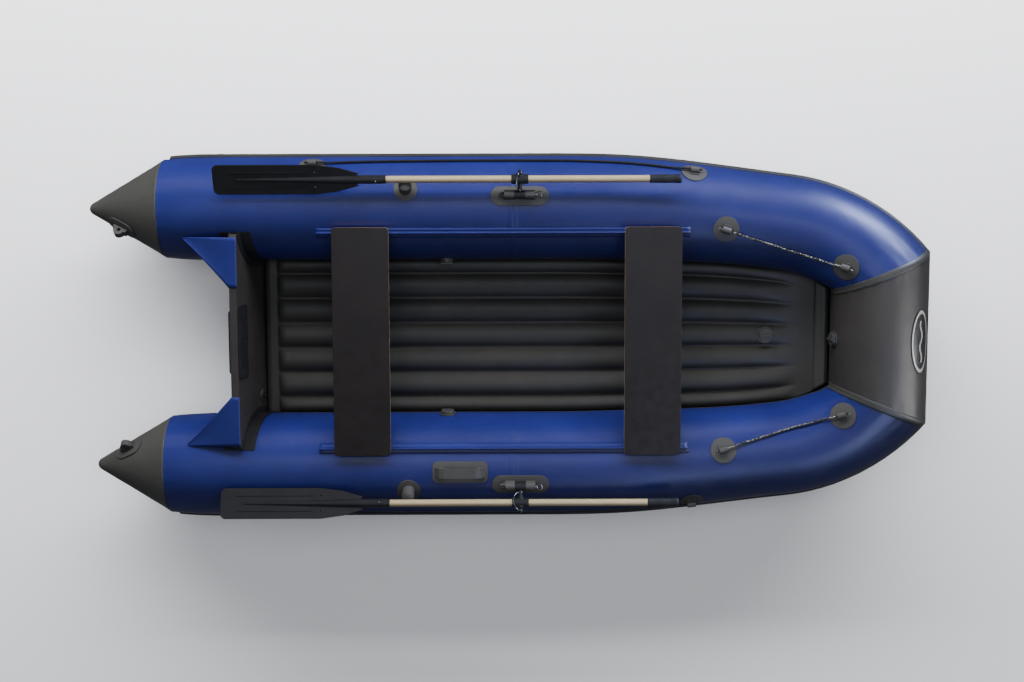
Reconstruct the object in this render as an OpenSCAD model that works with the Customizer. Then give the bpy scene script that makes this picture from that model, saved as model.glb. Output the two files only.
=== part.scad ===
// Blunt-bowed inflatable motor boat with an inflatable floor, two sliding seats and two stowed oars.
// +X points to the bow, +Y to port, +Z up. The origin is on the ground under the middle of the boat.

/* [Hull] */
// Length from the cone tips to the front of the bow strake
length = 3400; // [3100:10:3900]
// Distance of each side tube's axis from the centreline
tube_gauge = 527; // [470:1:640]
// Diameter of the side tubes
tube_d = 420; // [380:2:480]
// Diameter of the tubes at the bow
bow_tube_d = 380; // [330:2:400]
// Height of the bow tube's axis above the side tubes' axes
bow_rise = 117; // [80:1:150]
// How far each side tube turns in before it meets the bow tube
bow_shoulder = 257; // [240:1:300]
// Radius of the tight bend just behind the bow tube
bow_bend_r = 620; // [560:5:640]
// Thickness of the tube fabric
tube_wall = 2.5; // [1.5:0.1:4]
// Length of the stern cones
cone_len = 313; // [250:1:380]
// Radius of the rounded cone tips
cone_tip_r = 28; // [15:1:40]
// Height of the rub strake
strake_h = 44; // [30:1:60]
// How far the rub strake stands out of the tube
strake_t = 12; // [6:0.5:18]

/* [Floor] */
// Height of the floor's valleys above the ground
floor_z = 140; // [110:1:160]
// Height of the floor ribs above the valleys
rib_h = 28; // [15:1:40]
// Distance between the floor webs
rib_pitch = 103; // [90:1:110]
// Thickness of the floor fabric
floor_wall = 3; // [2:0.5:4]
// Width of the seam tape round the cockpit
cockpit_tape_w = 40; // [30:1:44]

/* [Transom] */
// Distance from the cone tips to the transom's top edge
stern_overhang = 600; // [520:5:680]
// Height of the transom's top edge
transom_h = 430; // [425:1:460]
// Thickness of the transom board
transom_t = 30; // [22:1:40]
// Rake of the transom, in degrees
transom_rake = 11.5; // [6:0.5:15]
// Width of the board at its top edge
transom_w = 860; // [760:2:900]
// Width of the outer motor pad
outer_pad_w = 250; // [180:2:300]
// Width of the inner motor pad
inner_pad_w = 290; // [200:2:320]
// Thickness of the motor pads
pad_t = 6; // [4:0.5:10]
// Bore of the drain valve
drain_bore_d = 24; // [18:0.5:30]

/* [Seats] */
// Fore-and-aft width of a seat board
seat_w = 225; // [180:1:260]
// Length of a seat board across the boat
seat_len = 910; // [890:1:940]
// Thickness of a seat board
seat_t = 15; // [10:1:20]
// Position of the rear seat's middle
rear_seat_x = -580; // [-640:5:-540]
// Position of the front seat's middle
front_seat_x = 578; // [540:1:620]
// Position of the rails' rear ends
rail_start_x = -757; // [-800:1:-700]
// Length of the seat rails
rail_len = 1484; // [1380:2:1600]
// Distance of the rail bead inboard of the tube's axis
rail_inset = 95; // [85:1:105]
// Diameter of the rail bead
bead_d = 8; // [6:0.5:10]
// Gap between the bead and the slider
slider_clearance = 0.3; // [0.3:0.05:0.6]

/* [Oars] */
// Position of the oarlocks along the boat
oarlock_x = 50; // [0:1:120]
// Tilt of the oarlock outboard of the tube's crown, in degrees
oarlock_angle = 14; // [8:0.5:18]
// Distance from the oarlock barrel to the oar, outboard
oar_out = 60; // [56:0.5:66]
// Distance from the oarlock barrel to the oar, upward
oar_up = 26; // [22:0.5:34]
// Diameter of the oar shafts
shaft_d = 28; // [24:0.5:30]
// Diameter of the oarlock stud
stud_d = 12; // [10:0.5:14]
// Diameter of the oarlock axle
axle_d = 10; // [8:0.5:12]
// Diameter of the oarlock barrels
barrel_d = 34; // [30:1:40]
// Running clearance of the axle and stud in their bores
running_clearance = 0.08; // [0.05:0.01:0.1]
// Distance from the oarlock to the tip of the blade
blade_reach = 1198; // [1000:2:1300]
// Distance from the oarlock to the end of the grip
grip_reach = 632; // [560:2:700]
// Width of the blade
blade_w = 124; // [100:1:140]
// Length of the blade with its neck
blade_len = 676; // [600:2:720]
// Position of the oar clips
clip_x = -400; // [-440:5:-360]

/* [Fittings] */
// Position of the carry handle's middle
handle_x = -192; // [-240:1:-150]
// Length of the carry handle's base
handle_len = 222; // [190:1:250]
// Width of the carry handle's base
handle_w = 88; // [70:1:100]
// Diameter of the rope eye patches
eye_patch_d = 104; // [80:1:120]
// Diameter of the hole in a rope eye
eye_bore_d = 14; // [12:0.5:16]
// Diameter of the hole in a towing eye
tow_bore_d = 16; // [12:0.5:18]
// Diameter of the safety ropes
rope_d = 9; // [8:0.5:10]
// Diameter of the valve flanges
valve_flange_d = 68; // [60:1:76]
// Diameter of the valve throats
valve_throat_d = 42; // [36:1:46]
// Position of the valves on the side tubes
valve_x = -247; // [-300:1:-200]

/* [Hidden] */
$fn = 96;

blue = [0.15, 0.2, 0.5];
grey = [0.27, 0.27, 0.26];
dark = [0.12, 0.12, 0.12];
wood = [0.16, 0.12, 0.1];
metal = [0.75, 0.75, 0.76];
champagne = [0.78, 0.72, 0.6];

// Gap left for glue between a fitting and the surface it sits on
glue = 0.2;
tube_r = tube_d / 2;
bow_r = bow_tube_d / 2;
stern_x = -length / 2;
cone_base_x = stern_x + cone_len;
// The side tubes narrow a little towards the cones
cone_base_r = tube_r - 10;
stern_taper_len = 187;
// The baffles between the aft and forward air chambers
baffle_x = 24;

// Centreline of a side tube: straight, then a wide bend, then a tight one up to the bow mitre
wide_bend = 8;
tight_bend = 47;
mitre = (90 - tight_bend) / 2;
bow_x = length / 2 - strake_t - bow_r;
wide_r = (bow_shoulder - bow_bend_r * (cos(wide_bend) - cos(tight_bend))) / (1 - cos(wide_bend));
tight_x = bow_x - bow_bend_r * (sin(tight_bend) - sin(wide_bend));
wide_x = tight_x - wide_r * sin(wide_bend);
degree = PI / 180;
wide_len = wide_r * wide_bend * degree;
path_len = wide_len + bow_bend_r * (tight_bend - wide_bend) * degree;
rise_len = 956;
taper_start = 200;
taper_len = 700;
mitre_blend = 350;

function clamp01(t) = min(1, max(0, t));
function smooth(t) = let (u = clamp01(t)) u * u * (3 - 2 * u);
function heading(s) =
    s <= 0 ? 0 : s <= wide_len ? s / wide_r / degree : wide_bend + (s - wide_len) / bow_bend_r / degree;
function path_x(s) =
    s <= 0 ? wide_x + s :
    s <= wide_len ? wide_x + wide_r * sin(heading(s)) :
    tight_x + bow_bend_r * (sin(heading(s)) - sin(wide_bend));
function path_y(s) =
    s <= 0 ? tube_gauge :
    s <= wide_len ? tube_gauge - wide_r * (1 - cos(heading(s))) :
    tube_gauge - wide_r * (1 - cos(wide_bend)) - bow_bend_r * (cos(wide_bend) - cos(heading(s)));
function rise_share(s) = clamp01((s - path_len + rise_len) / rise_len);
function path_z(s) = tube_r + bow_rise * pow(rise_share(s), 2);
function slope(s) = atan(2 * bow_rise * rise_share(s) / rise_len);
function radius(s) = tube_r - (tube_r - bow_r) * smooth((s - taper_start) / taper_len);
function station(x) =
    x <= wide_x ? x - wide_x :
    x <= tight_x ? wide_r * asin((x - wide_x) / wide_r) * degree :
    wide_len + bow_bend_r * (asin(sin(wide_bend) + (x - tight_x) / bow_bend_r) - wide_bend) * degree;

// A point on the tube at a station, at an angle from outboard (0) over the crown (90) to inboard (180)
function cant(s) = mitre * smooth((s - path_len + mitre_blend) / mitre_blend);
function tube_point(s, angle, extra) =
    let (turn = 90 - heading(s) - cant(s), r = radius(s) + extra)
    [
        path_x(s) + r / cos(cant(s)) * cos(angle) * cos(turn),
        path_y(s) + r / cos(cant(s)) * cos(angle) * sin(turn),
        path_z(s) + r * sin(angle)
    ];
function ring(s, extra) = [for (i = [0:tube_sides - 1]) tube_point(s, i * 360 / tube_sides, extra)];
function shifted(loop, by) = [for (p = loop) p + by];
function port_to_starboard(loop) = [for (p = loop) [p[0], -p[1], p[2]]];
function backwards(list) = [for (i = [len(list) - 1:-1:0]) list[i]];
tube_sides = 48;

bend_stations = [for (k = [0:7]) wide_len * k / 8];
// Seam tapes on the bow mitres: half their width, and their thickness
tape_half = 16;
tape_t = 1.5;
tape_start = path_len - tape_half;
tight_stations = concat(
    [for (k = [0:8]) wide_len + (path_len - wide_len) * k / 9], [tape_start - 10, tape_start, path_len]
);
// Strips that cross the bow seam tapes are raised over them
function over_tape(s, lift) = s < tape_start - 1 ? lift : tape_t + lift;
forward_stations = concat([baffle_x - wide_x], bend_stations, tight_stations);

// End caps run in a zigzag from side to side of the loop
function zigzag(n, k) = k % 2 == 0 ? k / 2 : n - (k + 1) / 2;
function cap_face(n, k) = k % 2 == 0
    ? [zigzag(n, k), zigzag(n, k + 2), zigzag(n, k + 1)]
    : [zigzag(n, k), zigzag(n, k + 1), zigzag(n, k + 2)];
// Closed skin over loops of points: a chain with flat end caps, or a ring of loops
module skin(loops, closed = false) {
    n = len(loops[0]);
    m = len(loops);
    sides = [
        for (i = [0:closed ? m - 1 : m - 2], j = [0:n - 1])
        let (a = i * n + j, b = i * n + (j + 1) % n, c = (i + 1) % m * n + (j + 1) % n, d = (i + 1) % m * n + j)
        each [[a, c, b], [a, d, c]]
    ];
    caps = closed ? [] : [
        for (k = [0:n - 3]) let (f = cap_face(n, k)) each [f, [for (j = backwards(f)) (m - 1) * n + j]]
    ];
    polyhedron([for (loop = loops) each loop], concat(sides, caps), convexity = 12);
}

// Frames on a port side tube: X along the tube, Y outboard, Z up, from the tube's axis or its surface
module at_station(s) {
    translate([path_x(s), path_y(s), path_z(s)]) rotate([0, 0, -heading(s)]) rotate([0, -slope(s), 0]) children();
}
module along_x() rotate([0, 90, 0]) children();
module tube_core(s, extra) along_x() cylinder(h = 600, r = radius(s) + extra, center = true);
module starboard() mirror([0, 1, 0]) children();

// Flat outline wrapped onto the tube as a patch of thickness t, at an angle outboard of the crown
module patch(s, angle, t, spin = 0) {
    at_station(s) difference() {
        intersection() {
            rotate([-angle, 0, 0]) translate([0, 0, radius(s) - 30]) rotate([0, 0, spin]) linear_extrude(60) children();
            tube_core(s, t);
        }
        tube_core(s, glue);
    }
}
// Body that stands on the tube: drawn from the surface up, cut to the tube below
module seated(s, angle, spin = 0) {
    at_station(s) difference() {
        rotate([-angle, 0, 0]) translate([0, 0, radius(s)]) rotate([0, 0, spin]) children();
        tube_core(s, glue);
    }
}
module stadium(l, w) {
    square([l - w, w], center = true);
    for (end = [-1, 1]) translate([end * (l - w) / 2, 0]) circle(d = w);
}
module rounded_rect(l, w, r) {
    square([l - 2 * r, w], center = true);
    square([l, w - 2 * r], center = true);
    for (x = [-1, 1], y = [-1, 1]) translate([x * (l / 2 - r), y * (w / 2 - r)]) circle(r);
}

// Valves: one on the inner flank of each side tube, one on the bow tube, one on the floor
valve_angle = -84;
valve_throat_r = valve_throat_d / 2;
valve_sleeve_r = valve_throat_r + 4;
valve_sleeve_len = 34;
valve_flange_t = 4;
bow_valve_tilt = 10;
module at_tube_valve() at_station(valve_x - wide_x) rotate([-valve_angle, 0, 0]) translate([0, 0, tube_r]) children();
module at_bow_valve() {
    translate([bow_x, 0, tube_r + bow_rise]) rotate([0, bow_valve_tilt - 90, 0]) translate([0, 0, bow_r]) children();
}
// The floor valve stands in the middle of the flat run where the ribs fall away
module at_floor_valve() {
    from = rib_crown(rib_end_x - 160);
    to = rib_crown(rib_end_x - 80);
    translate([rib_end_x - 120, 0, (from + to) / 2]) rotate([0, -atan((to - from) / 80), 0]) children();
}
module valve_hole() translate([0, 0, -valve_sleeve_len]) cylinder(h = 2 * valve_sleeve_len, r = valve_sleeve_r + glue);

// ---- Hull ----
taper_steps = 6;
module aft_tube_profile() {
    outer = [for (k = [0:taper_steps])
        let (t = k / taper_steps) [tube_r - (tube_r - cone_base_r) * pow(1 - t, 2), cone_base_x + stern_taper_len * t]];
    inner = [for (p = backwards(outer)) [p[0] - tube_wall, p[1]]];
    polygon(concat(outer, [[tube_r, baffle_x], [tube_r - tube_wall, baffle_x]], inner));
}
module aft_tube() {
    difference() {
        translate([0, tube_gauge, tube_r]) along_x() rotate_extrude() aft_tube_profile();
        at_tube_valve() valve_hole();
    }
}
module port_tube_aft() color(blue) aft_tube();
module starboard_tube_aft() color(blue) starboard() aft_tube();

module forward_tube() {
    outer = [for (s = forward_stations) ring(s, 0)];
    inner = [for (s = forward_stations) ring(s, -tube_wall)];
    skin(concat(outer, backwards(inner)), closed = true);
}
module port_tube_forward() color(blue) forward_tube();
module starboard_tube_forward() color(blue) starboard() forward_tube();

module bow_tube() {
    outer = ring(path_len, 0);
    inner = ring(path_len, -tube_wall);
    color(grey) difference() {
        skin([outer, port_to_starboard(outer), port_to_starboard(inner), inner], closed = true);
        at_bow_valve() valve_hole();
    }
}

module cone_profile(base_r, tip_r) {
    reach = cone_len - cone_tip_r;
    lean = acos(tip_r / norm([base_r, reach])) - atan2(reach, base_r);
    steps = 8;
    tip = [for (k = [0:steps]) let (t = lean + (90 - lean) * k / steps) [tip_r * cos(t), -reach - tip_r * sin(t)]];
    polygon(concat([[0, 0], [base_r, 0]], tip));
}
module stern_cone() {
    color(grey) translate([cone_base_x, tube_gauge, tube_r]) along_x() rotate_extrude() difference() {
        cone_profile(cone_base_r, cone_tip_r);
        cone_profile(cone_base_r - tube_wall, cone_tip_r - tube_wall);
    }
}
module port_stern_cone() stern_cone();
module starboard_stern_cone() starboard() stern_cone();

module baffle() {
    bulge_r = 500;
    disc_r = tube_r - tube_wall - glue;
    sag = bulge_r - sqrt(pow(bulge_r, 2) - pow(disc_r, 2));
    translate([baffle_x, tube_gauge, tube_r]) along_x() intersection() {
        cylinder(h = 2 * sag, r = disc_r, center = true);
        translate([0, 0, sag - bulge_r]) difference() {
            sphere(bulge_r);
            sphere(bulge_r - tube_wall);
        }
    }
}
module tube_baffles() {
    color(grey) {
        baffle();
        starboard() baffle();
    }
}

// Rub strake: a D-shaped band, at the widest line of the tubes, from cone to cone round the bow
strake_start = cone_base_x + 22 - wide_x;
strake_edge_step = strake_t * 0.4;
strake_stations = concat(
    [strake_start], [for (k = [1:taper_steps]) cone_base_x + stern_taper_len * k / taper_steps - wide_x],
    bend_stations, tight_stations
);
// The strake follows the narrowing of the aft tube as well
function stern_narrowing(s) = let (t = clamp01((path_x(s) - cone_base_x) / stern_taper_len))
    (tube_r - cone_base_r) * pow(1 - t, 2);
function strake_section(s) =
    let (
        half = strake_h / 2 / radius(s) / degree, face = strake_t - stern_narrowing(s),
        back = over_tape(s, 0.5) - stern_narrowing(s)
    )
    [
        tube_point(s, -half, back), tube_point(s, -half, face - strake_edge_step),
        tube_point(s, -half / 2, face - 1.5), tube_point(s, -half / 5, face),
        tube_point(s, half / 5, face), tube_point(s, half / 2, face - 1.5),
        tube_point(s, half, face - strake_edge_step), tube_point(s, half, back), tube_point(s, 0, back)
    ];
module rub_strake() {
    port = [for (s = strake_stations) strake_section(s)];
    color(grey) skin(concat(port, [for (loop = backwards(port)) port_to_starboard(loop)]));
}

function tape_ring(extra) = [
    ring(tape_start, extra), ring(path_len, extra), shifted(ring(path_len, extra), [0, -tape_half, 0])
];
module bow_seam_tape() skin(concat(tape_ring(tape_t), backwards(tape_ring(glue))), closed = true);
module bow_seam_tapes() {
    color([0.35, 0.35, 0.34]) {
        bow_seam_tape();
        starboard() bow_seam_tape();
    }
}

// ---- Floor and bottom ----
// Angles below the tube's widest line at which the floor and the bottom are glued on
floor_angle = asin((tube_r - floor_z) / tube_r);
bottom_edge_z = 40;
bottom_angle = asin((tube_r - bottom_edge_z) / tube_r);
bottom_drop = 32;
bottom_wall = 3;
edge_gap = 3;
floor_end_x = bow_x - bow_r * cos(floor_angle) - 6;
function transom_inner_x(z) = transom_x + transom_t / cos(transom_rake) + (transom_h - z) * tan(transom_rake);
transom_x = stern_x + stern_overhang;
floor_start_x = transom_inner_x(floor_z) + 9;
rib_start_x = floor_start_x + 50;
rib_end_x = floor_end_x - 130;
rib_round = 40;
// Station whose inboard side, at an angle below the widest line, comes to this place along the boat
tight_centre_x = tight_x - bow_bend_r * sin(wide_bend);
function inner_station(x, angle) =
    let (in = radius(station(x)) * cos(angle), tight = bow_bend_r - in, wide = wide_r - in)
    x <= wide_x ? x - wide_x :
    x <= tight_centre_x + tight * sin(wide_bend) ? wide_r * asin((x - wide_x) / wide) * degree :
    wide_len + bow_bend_r * (asin((x - tight_centre_x) / tight) - wide_bend) * degree;
function half_width(x, angle) =
    let (s = inner_station(x, angle)) path_y(s) - radius(s) * cos(angle) * cos(heading(s)) - edge_gap;
function attach_z(x, angle) = let (s = inner_station(x, angle)) path_z(s) - radius(s) * sin(angle);
function floor_surface(x) = attach_z(x, floor_angle);
function rib_height(x) =
    rib_h * sqrt(clamp01(1 - pow(1 - clamp01((x - rib_start_x) / rib_round), 2))) * clamp01((rib_end_x - x) / 160);
function rib_crown(x) = floor_surface(x) + rib_height(x);
floor_stations = [
    floor_start_x, rib_start_x + 1, rib_start_x + 8, rib_start_x + 20, rib_start_x + rib_round,
    600, 800, 900, 980, rib_end_x - 160, rib_end_x - 80, rib_end_x, floor_end_x
];
ribs = 5;
rib_steps = 6;
rib_edge = ribs * rib_pitch / 2;
function arc_share(u) = let (r = (1 + pow(rib_bow, 2)) / (2 * rib_bow)) (sqrt(r * r - u * u) - (r - rib_bow)) / rib_bow;
rib_bow = 2 * rib_h / rib_pitch;
// Places across the floor and how high the rib is there, from port to starboard
edge_rib_w = half_width(0, floor_angle) - rib_edge;
rib_marks = [
    for (k = [0:rib_steps]) let (u = 1 - 2 * k / rib_steps) [rib_edge + edge_rib_w * (u + 1) / 2, arc_share(u)],
    for (i = [ribs - 1:-1:0], k = [1:rib_steps])
        let (u = 1 - 2 * k / rib_steps) [-rib_edge + rib_pitch * (i + (u + 1) / 2), arc_share(u)],
    for (k = [1:rib_steps]) let (u = 1 - 2 * k / rib_steps) [-rib_edge - edge_rib_w * (1 - u) / 2, arc_share(u)]
];
function floor_loop(x) =
    let (
        share = half_width(x, floor_angle) / half_width(0, floor_angle),
        top = [for (m = rib_marks) [x, m[0] * share, floor_surface(x) + rib_height(x) * m[1]]]
    )
    concat(top, backwards([for (p = top) p - [0, 0, floor_wall]]));
module floor_top_skin() {
    color(dark) difference() {
        skin([for (x = floor_stations) floor_loop(x)]);
        at_floor_valve() valve_hole();
    }
}

bottom_marks = [1, 0.75, 0.5, 0.25, 0, -0.25, -0.5, -0.75, -1];
bottom_start_x = transom_inner_x(0) - transom_t - 14;
bottom_end_x = bow_x - bow_r * cos(bottom_angle) - 6;
bottom_stations = [bottom_start_x, 300, 600, 750, 900, 1000, 1100, 1180, 1240, 1300, 1345, bottom_end_x];
function bottom_z(x, share) = attach_z(x, bottom_angle) - bottom_drop * (1 - abs(share));
function bottom_loop(x) =
    let (top = [for (m = bottom_marks) [x, m * (half_width(x, bottom_angle) - 2), bottom_z(x, m)]])
    concat(top, backwards([for (p = top) p - [0, 0, bottom_wall]]));
module hull_bottom_skin() color(grey) skin([for (x = bottom_stations) bottom_loop(x)]);

web_t = 2;
web_end_x = 600;
module floor_web(y) {
    start_x = transom_inner_x(0) + 4;
    share = (abs(y) + web_t) / (half_width(web_end_x, bottom_angle) - 2);
    lower = bottom_z(web_end_x, share) + 2 * glue;
    translate([start_x, y - web_t / 2, lower]) cube([web_end_x - start_x, web_t, floor_z - floor_wall - glue - lower]);
}
module floor_webs() {
    color(grey) for (i = [0:ribs]) floor_web(-rib_edge + i * rib_pitch);
}

keel_w = 60;
keel_t = 3;
module keel_strip() {
    keel_z = bottom_z(0, 0) - bottom_wall - glue - keel_t;
    color(grey) translate([(bottom_start_x + 600) / 2, 0, keel_z])
        linear_extrude(keel_t) rounded_rect(600 - bottom_start_x, keel_w, 20);
}

// Tape between the floor's edge and the tubes, right round the cockpit, starting clear of the transom holders
holder_reach = 45;
tape_stations = concat([transom_inner_x(floor_z) + holder_reach + 8 - wide_x], bend_stations, tight_stations);
function tape_section(s) =
    let (
        low = 180 + floor_angle - 1, high = low - cockpit_tape_w / radius(s) / degree, mid = (low + high) / 2,
        back = over_tape(s, 0.3)
    )
    [
        tube_point(s, low, tape_t + back), tube_point(s, mid, tape_t + back), tube_point(s, high, tape_t + back),
        tube_point(s, high, back), tube_point(s, mid, back), tube_point(s, low, back)
    ];
module cockpit_seam_tape() {
    port = [for (s = tape_stations) tape_section(s)];
    color([0.35, 0.35, 0.34]) skin(concat(port, [for (loop = backwards(port)) port_to_starboard(loop)]));
}

// ---- Transom ----
holder_t = 2.5;
holder_lip = 28;
holder_lip_t = 4;
board_foot_z = 16;
screw_d = 5;
screw_head_d = 10;
drain_y = -246;
drain_z = 172;
drain_r = drain_bore_d / 2;
drain_sleeve_r = drain_r + 4;
drain_flange_r = drain_sleeve_r + 8;
drain_flange_t = 4;
drain_down = (transom_h - drain_z) / cos(transom_rake);
// Frame on the transom: X is the normal into the boat from the aft face, Z runs up the board, 0 at its top
module on_transom() translate([transom_x, 0, transom_h]) rotate([0, -transom_rake, 0]) children();
module at_drain() on_transom() translate([0, drain_y, -drain_down]) along_x() children();
module raked_slab(from, to, below, above) {
    on_transom() translate([from, -700, -below]) cube([to - from, 1400, below + above]);
}
module side_core(r) translate([0, tube_gauge, tube_r]) along_x() cylinder(h = 2 * length, r = r, center = true);
pad_screws = [[-120, -22], [120, -22], [-4, -60], [-120, -60], [120, -60]];
screw_head_h = 2.5;
// Where the screw heads start, so that they end a little below the pad's face
screw_neck_x = transom_t + pad_t - screw_head_h - 0.3;
module screw_holes() {
    for (p = pad_screws) on_transom() translate([0, p[0], p[1]]) along_x() {
        translate([0, 0, transom_t - 12]) cylinder(h = pad_t + 14, r = screw_d / 2 + 0.1);
        translate([0, 0, screw_neck_x]) cylinder(h = pad_t, r = screw_head_d / 2 + glue);
    }
}
module transom_board() {
    foot_half = half_width(0, bottom_angle) - 6;
    depth = transom_h - board_foot_z;
    color(wood) difference() {
        on_transom() rotate([90, 0, 90]) linear_extrude(transom_t) polygon([
            [-transom_w / 2, -18], [-transom_w / 2 + 18, 0], [transom_w / 2 - 18, 0], [transom_w / 2, -18],
            [transom_w / 2, -40], [foot_half, -40], [foot_half, -depth + bottom_drop + 8], [0, -depth],
            [-foot_half, -depth + bottom_drop + 8], [-foot_half, -40], [-transom_w / 2, -40]
        ]);
        for (side = [0, 1]) mirror([0, side, 0]) side_core(tube_r + holder_t + glue);
        at_drain() translate([0, 0, -10]) cylinder(h = transom_t + 20, r = drain_sleeve_r + 0.1);
        screw_holes();
    }
}
module ring_part(inner, outer, x_from, x_to) {
    // Sector on the tube's inboard side, between the lower flank and just short of the crown
    translate([x_from, tube_gauge, tube_r]) along_x() rotate([0, 0, 205])
        rotate_extrude(angle = 115) translate([inner, 0]) square([outer - inner, x_to - x_from]);
}
module transom_holder() {
    x_from = transom_x - 120;
    x_to = transom_x + 240;
    intersection() {
        union() {
            intersection() {
                ring_part(tube_r + glue, tube_r + holder_t, x_from, x_to);
                raked_slab(-holder_reach, transom_t + holder_reach, 600, 100);
            }
            intersection() {
                ring_part(tube_r + glue, tube_r + holder_lip, x_from, x_to);
                union() {
                    raked_slab(-holder_lip_t - glue, -glue, 600, -8);
                    raked_slab(transom_t + glue, transom_t + glue + holder_lip_t, 600, -8);
                }
            }
        }
        translate([-length, -length, bottom_edge_z + 6]) cube([2 * length, 2 * length, length]);
    }
}
module transom_holders() {
    color(dark) for (side = [0, 1]) mirror([0, side, 0]) transom_holder();
}

// Gusset: fabric that runs down from over the board's top edge to a point on the tube, in the plane of that edge
gusset_in = 202;
gusset_t = 2.5;
gusset_lap = 4;
module gusset() {
    outer_y = transom_w / 2 - 12;
    inner_y = outer_y - gusset_in;
    tube_top = tube_r + sqrt(pow(tube_r, 2) - pow(tube_gauge - outer_y, 2));
    foot = (transom_h - tube_top - 1) / sin(transom_rake);
    on_transom() translate([0, 0, glue]) linear_extrude(gusset_t) polygon([
        [-foot, outer_y], [transom_t + gusset_lap, outer_y], [transom_t + gusset_lap, inner_y], [-gusset_lap, inner_y]
    ]);
}
module transom_gussets() {
    color(blue) for (side = [0, 1]) mirror([0, side, 0]) gusset();
}

outer_pad_h = 190;
inner_pad_h = 92;
inner_pad_top = 8;
module outer_motor_pad() {
    color(dark) on_transom() translate([-glue, 0, -outer_pad_h / 2]) rotate([0, -90, 0])
        linear_extrude(pad_t) rounded_rect(outer_pad_h, outer_pad_w, 12);
}
module inner_motor_pad() {
    color(dark) difference() {
        on_transom() translate([transom_t + glue, 0, -inner_pad_top - inner_pad_h / 2]) rotate([0, 90, 0])
            linear_extrude(pad_t) rounded_rect(inner_pad_h, inner_pad_w, 10);
        screw_holes();
        on_transom() translate([transom_t + 3, -26, -70]) cube([pad_t, 40, 30]);
    }
}
module motor_pad_screws() {
    color(metal) for (p = pad_screws) on_transom() translate([0, p[0], p[1]]) along_x() {
        translate([0, 0, transom_t - 10]) cylinder(h = screw_neck_x - transom_t + 11, r = screw_d / 2);
        translate([0, 0, screw_neck_x]) cylinder(h = screw_head_h, r1 = screw_d / 2, r2 = screw_head_d / 2);
    }
}

module drain_valve_body() {
    color(grey) at_drain() difference() {
        union() {
            translate([0, 0, -drain_flange_t - glue]) cylinder(h = drain_flange_t, r = drain_flange_r);
            translate([0, 0, -drain_flange_t - glue])
                cylinder(h = transom_t + 2 * drain_flange_t + 2 * glue, r = drain_sleeve_r);
            translate([0, 0, transom_t + glue]) cylinder(h = drain_flange_t, r = drain_flange_r);
        }
        translate([0, 0, -20]) cylinder(h = transom_t + 40, r = drain_r);
    }
}
plug_clearance = 0.3;
module drain_plug() {
    face = transom_t + glue + drain_flange_t;
    color(dark) at_drain() {
        translate([0, 0, face - 18]) cylinder(h = 19, r = drain_r - plug_clearance);
        translate([0, 0, face + 0.5]) cylinder(h = 4, r = drain_r + 3);
        translate([0, 0, face + 4]) cylinder(h = 7, r = 5);
        translate([0, 0, face + 10]) cylinder(h = 3, r = 8);
    }
}

// ---- Seats ----
bead_r = bead_d / 2;
rail_y = tube_gauge - rail_inset;
rail_foot_z = tube_r + sqrt(pow(tube_r, 2) - pow(rail_inset, 2));
bead_z = rail_foot_z + 16;
rail_flap_t = 2.4;
rail_base_w = 40;
rail_base_t = 1.5;
rail_base_gap = 0.8;
slider_w = 18;
slider_top = 11;
seat_z = bead_z + slider_top + glue;
slider_len = seat_w - 30;
// Stations of the base strip: its ends, and where the forward tube starts to bend
rail_end_s = station(rail_start_x + rail_len);
rail_stations = concat([rail_start_x - wide_x], [for (s = bend_stations) if (s < rail_end_s - 20) s], [rail_end_s]);
function rail_base_section(s) =
    let (
        middle = 90 + asin((path_y(s) - rail_y) / radius(s)), half = rail_base_w / 2 / radius(s) / degree,
        lower = [for (k = [2:-1:-2]) tube_point(s, middle + half * k / 2, rail_base_gap)],
        upper = [for (k = [-2:2]) tube_point(s, middle + half * k / 2, rail_base_gap + rail_base_t)]
    )
    concat(lower, upper);
function rail_flap_section(s) =
    let (foot = path_z(s) + sqrt(pow(radius(s), 2) - pow(path_y(s) - rail_y, 2)) + 1.2, y = rail_flap_t / 2)
    [
        [path_x(s), rail_y - y, foot], [path_x(s), rail_y + y, foot],
        [path_x(s), rail_y + y, bead_z], [path_x(s), rail_y - y, bead_z]
    ];
module seat_rail() {
    color(blue) {
        skin([for (s = rail_stations) rail_base_section(s)]);
        skin([for (s = rail_stations) rail_flap_section(s)]);
        translate([rail_start_x, rail_y, bead_z]) along_x() cylinder(h = rail_len, r = bead_r);
    }
}
module port_seat_rail() seat_rail();
module starboard_seat_rail() starboard() seat_rail();

module seat_board(x) {
    color(wood) translate([x, 0, seat_z]) linear_extrude(seat_t) rounded_rect(seat_w, seat_len, 14);
}
module rear_seat_board() seat_board(rear_seat_x);
module front_seat_board() seat_board(front_seat_x);

module slider(x) {
    translate([x, rail_y, bead_z]) difference() {
        union() {
            along_x() cylinder(h = slider_len, d = slider_w, center = true);
            translate([-slider_len / 2, -slider_w / 2, 0]) cube([slider_len, slider_w, slider_top]);
            translate([-slider_len / 2, -slider_w, slider_top - 3]) cube([slider_len, 2 * slider_w, 3]);
        }
        along_x() cylinder(h = slider_len + 2, r = bead_r + slider_clearance, center = true);
        translate([-slider_len, -rail_flap_t / 2 - slider_clearance, -slider_w])
            cube([2 * slider_len, rail_flap_t + 2 * slider_clearance, slider_w]);
    }
}
module seat_sliders(x) {
    color(dark) for (side = [0, 1]) mirror([0, side, 0]) slider(x);
}
module rear_seat_sliders() seat_sliders(rear_seat_x);
module front_seat_sliders() seat_sliders(front_seat_x);

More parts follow.
